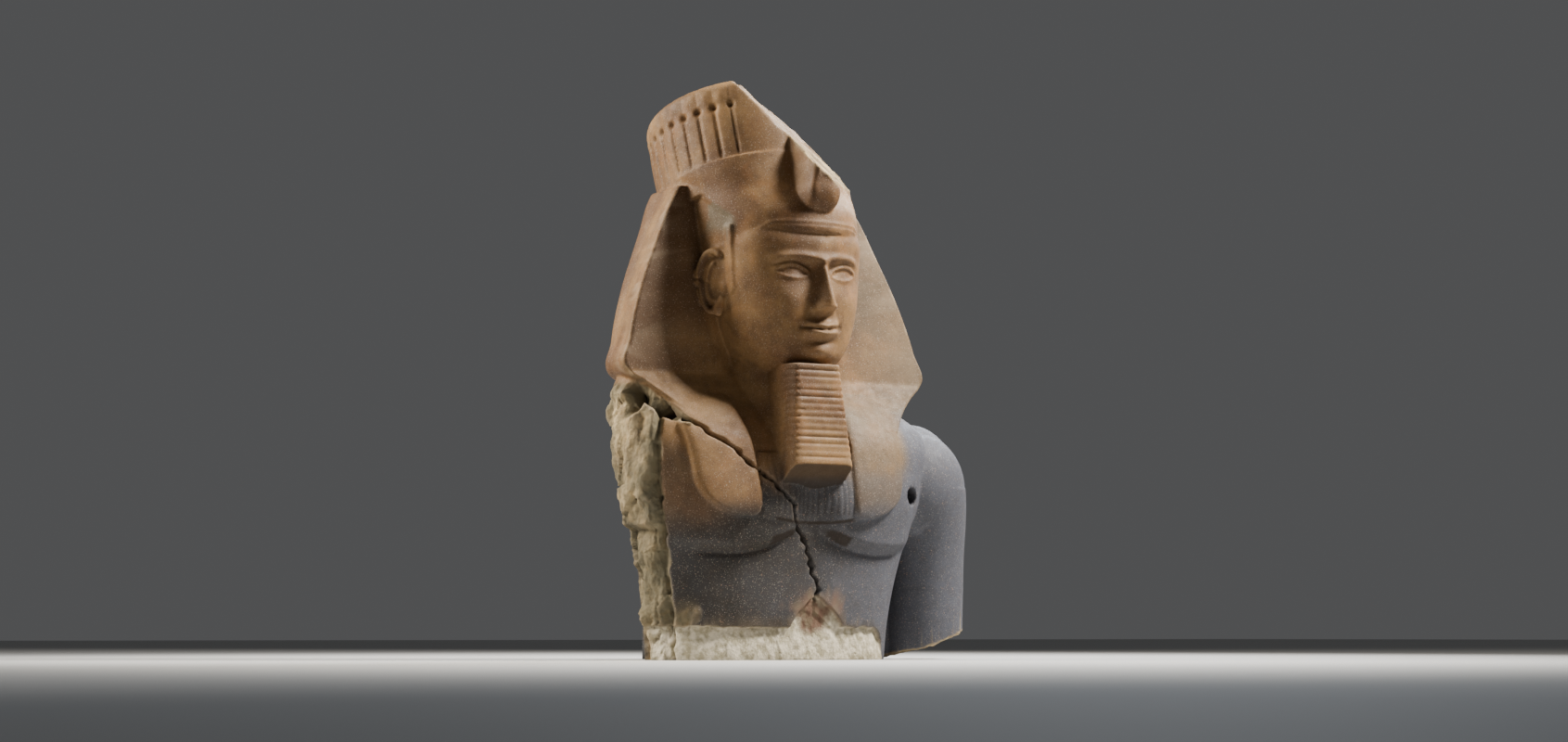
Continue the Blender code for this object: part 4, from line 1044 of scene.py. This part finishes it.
def stone_shares(skin, points, normals):
    """How warm, broken, shaded or highlighted each place is, with painted shade in hollows and on shaded
    faces, painted highlight on crests, and worn chips, by where the skin lay before it was moved.
    """
    x, y, z = points.T
    uneven = ragged(points)
    stump, lumps, crown, band, arm_foot = broken_share(points)
    crown *= 1 - 0.8 * smooth_step(z, 23.5, 24.5)
    # Painted shade in hollows and painted highlight on crests, from the skin's curvature.
    hollow, crest = shade_and_highlight_shares(skin, *skin_places(skin))
    front = (normals[:, 1] < 0.1) & (y < 0.5)
    # Painted shade along the carved crack.
    crack = bump(crack_distance(x + crack_wander(z), z), CRACK_HALF_WIDTH * 1.1) * front
    crack *= np.where(z > 6.5, 0.75, 1.0) * (z < 12)
    chipped = 0.8 * smooth_step(crevice(x, z), 0.05, 0.5) * (y < 0.8)
    # Painted shade, green-grey, in the groove between the arm's break and the chest.
    stump_groove_shade = bump(arm_stump_x(z) - x - 0.25, 0.4 + 0.3 * uneven) * smooth_step(z, 0.5, 2.0)
    # Painted shade in the drilled hole, and no painted highlight round it.
    from_hole = np.hypot(x - DRILL_HOLE_AT[0], z - DRILL_HOLE_AT[1])
    crest = crest * smooth_step(from_hole, 0.8, 1.2)
    hollow = np.maximum(hollow, bump(from_hole, 0.3) * front)
    # Less painted shade beside the cheek tabs.
    tab = (y < -1.0) * (y > -1.8) * (z > 16.4) * (z < 20.3) * (np.abs(x) > 2.8)
    hollow = hollow * (1 - 0.8 * tab)
    # Painted shadow under the beard.
    beard_underside_shadow = smooth_step(-normals[:, 2], 0.35, 0.6) * (y < -2.0) * (z < 9.9) * (np.abs(x) < 2.2)
    # Painted shade in the grooves of the collar's strokes.
    stroke = 1 - smooth_step(np.abs(np.sin(math.pi * x / 0.30)), 0.0, 0.55)
    stroke = 0.55 * stroke * (np.abs(x) < 2.35) * (z > 6.55) * (z < 8.6) * (y < 0) * front
    hollow = np.maximum.reduce([hollow, beard_underside_shadow, stroke])
    return {
        "warm": warm_share(x, y, z, uneven),
        "broken": np.maximum.reduce([stump, lumps, crown, band, arm_foot]),
        # Green-grey of the breaks, and painted shade in the groove beside the arm's break.
        "green": np.maximum.reduce([0.8 * lumps, chipped, stump_groove_shade]),
        "band": band,
        "red": smooth_step(bump(x - PATCH_X, 1.5) * bump(z - 2.2, 1.1) + 0.35 * uneven, 0.3, 0.8),
        "cool": smooth_step(x + uneven, -2.5, 6.5),
        # Greyer colour as painted shade.
        "dull": grey_shade_share(x, y, z, uneven),
        # Painted shadow and shade on faces in shade, and darker patches.
        "dark": shade_and_patch_share(x, y, z, normals, uneven),
        # Painted shade: hollows, the crack, the drilled hole, the collar's grooves and under the beard.
        "hollow": np.maximum(hollow, crack),
        # Painted highlight on crests, and worn chips on the wings' edges.
        "crest": np.maximum(crest, worn_edge(x, y, z, uneven)),
    }


def nearest_places(thick_points, points):
    """For each of the points, the nearest one of the thick skin."""
    tree = KDTree(len(thick_points))
    for i, point in enumerate(thick_points):
        tree.insert(point, i)
    tree.balance()
    return np.array([tree.find(point)[1] for point in points])


def paint(skin, thick_points, shares):
    """Writes the thick skin's shares on the thinner one, for the material to read."""
    nearest = nearest_places(thick_points, skin_places(skin)[0])
    for name, values in shares.items():
        values = values[nearest]
        layer = skin.attributes.new(name, "FLOAT", "POINT")
        layer.data.foreach_set("value", values.astype(np.float32))


def fit_to_box(skin, box):
    """Sets the skin where the carved block stands, inside the block's limits, and returns the move."""
    points = np.empty(len(skin.vertices) * 3, np.float32)
    skin.vertices.foreach_get("co", points)
    points = points.reshape(-1, 3)
    low, high = np.array(box[0]), np.array(box[1])
    middle = (points.min(axis=0) + points.max(axis=0)) / 2
    move = ((low + high) / 2 - middle)[:2]
    points[:, :2] += move
    points = np.clip(points, low, high)
    skin.vertices.foreach_set("co", points.astype(np.float32).ravel())
    skin.update()
    return move


def make_statue():
    """The finished skin, and how far the figure's own axis lies from the block's middle."""
    bm = bmesh.new()
    add_masses(bm)
    skin = fused_skin(bm)
    carved, carved_normals = skin_places(skin)
    move_skin(skin)
    shares = stone_shares(skin, carved, carved_normals)
    thick_points = skin_places(skin)[0]
    skin = thin_out(skin)
    bm = bmesh.new()
    bm.from_mesh(skin)
    flat_underside(bm)
    bmesh.ops.triangulate(bm, faces=bm.faces[:])
    mesh = bpy.data.meshes.new("statue")
    bm.to_mesh(mesh)
    bm.free()
    paint(mesh, thick_points, shares)
    axis = fit_to_box(mesh, cad_box)
    mesh.shade_smooth()
    mesh.materials.append(granite_material())
    statue = bpy.data.objects.new("statue", mesh)
    bpy.context.scene.collection.objects.link(statue)
    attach(statue, "root")
    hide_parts("pharaoh_statue")
    return axis


def make_camera(axis):
    data = bpy.data.cameras.new("camera")
    data.sensor_width = SENSOR_MM
    data.lens = SENSOR_MM * FOCAL_PIXELS / PHOTO_WIDTH
    data.clip_end = 200.0
    camera = bpy.data.objects.new("camera", data)
    turn = CAMERA_AZIMUTH
    aim = Vector((axis[0] + AIM_RIGHT * math.cos(turn), axis[1] + AIM_RIGHT * math.sin(turn), CAMERA_HEIGHT))
    away = Vector((math.sin(turn), -math.cos(turn), 0))
    camera.location = aim + away * CAMERA_DISTANCE
    rise = math.atan((HORIZON_PIXEL - PHOTO_HEIGHT / 2) / FOCAL_PIXELS)
    camera.rotation_euler = (math.pi / 2 + rise, 0, turn)
    bpy.context.scene.collection.objects.link(camera)
    bpy.context.scene.camera = camera


def area_light(name, azimuth, elevation, distance, size, power, colour):
    data = bpy.data.lights.new(name, "AREA")
    data.shape = "SQUARE"
    data.size = size
    data.energy = power
    data.spread = BEAM_SPREAD
    data.color = colour
    light = bpy.data.objects.new(name, data)
    a, e = math.radians(azimuth), math.radians(elevation)
    direction = Vector((math.sin(a) * math.cos(e), -math.cos(a) * math.cos(e), math.sin(e)))
    light.location = Vector((0, 0, HEIGHT * 0.55)) + direction * distance
    light.rotation_euler = (-direction).to_track_quat("-Z", "Y").to_euler()
    bpy.context.scene.collection.objects.link(light)


def make_studio():
    world = bpy.data.worlds.new("studio")
    bpy.context.scene.world = world
    world.use_nodes = True
    world.node_tree.nodes["Background"].inputs["Color"].default_value = WORLD_COLOUR
    world.node_tree.nodes["Background"].inputs["Strength"].default_value = WORLD_STRENGTH
    for light in LIGHTS:
        area_light(*light)
    bm = bmesh.new()
    bmesh.ops.create_grid(bm, x_segments=1, y_segments=1, size=FLOOR_REACH)
    mesh = bpy.data.meshes.new("floor")
    bm.to_mesh(mesh)
    bm.free()
    material = bpy.data.materials.new("floor")
    material.use_nodes = True
    shader = material.node_tree.nodes["Principled BSDF"]
    shader.inputs["Base Color"].default_value = FLOOR_COLOUR
    shader.inputs["Roughness"].default_value = 0.8
    mesh.materials.append(material)
    floor = bpy.data.objects.new("floor", mesh)
    bpy.context.scene.collection.objects.link(floor)


make_camera(make_statue())
make_studio()
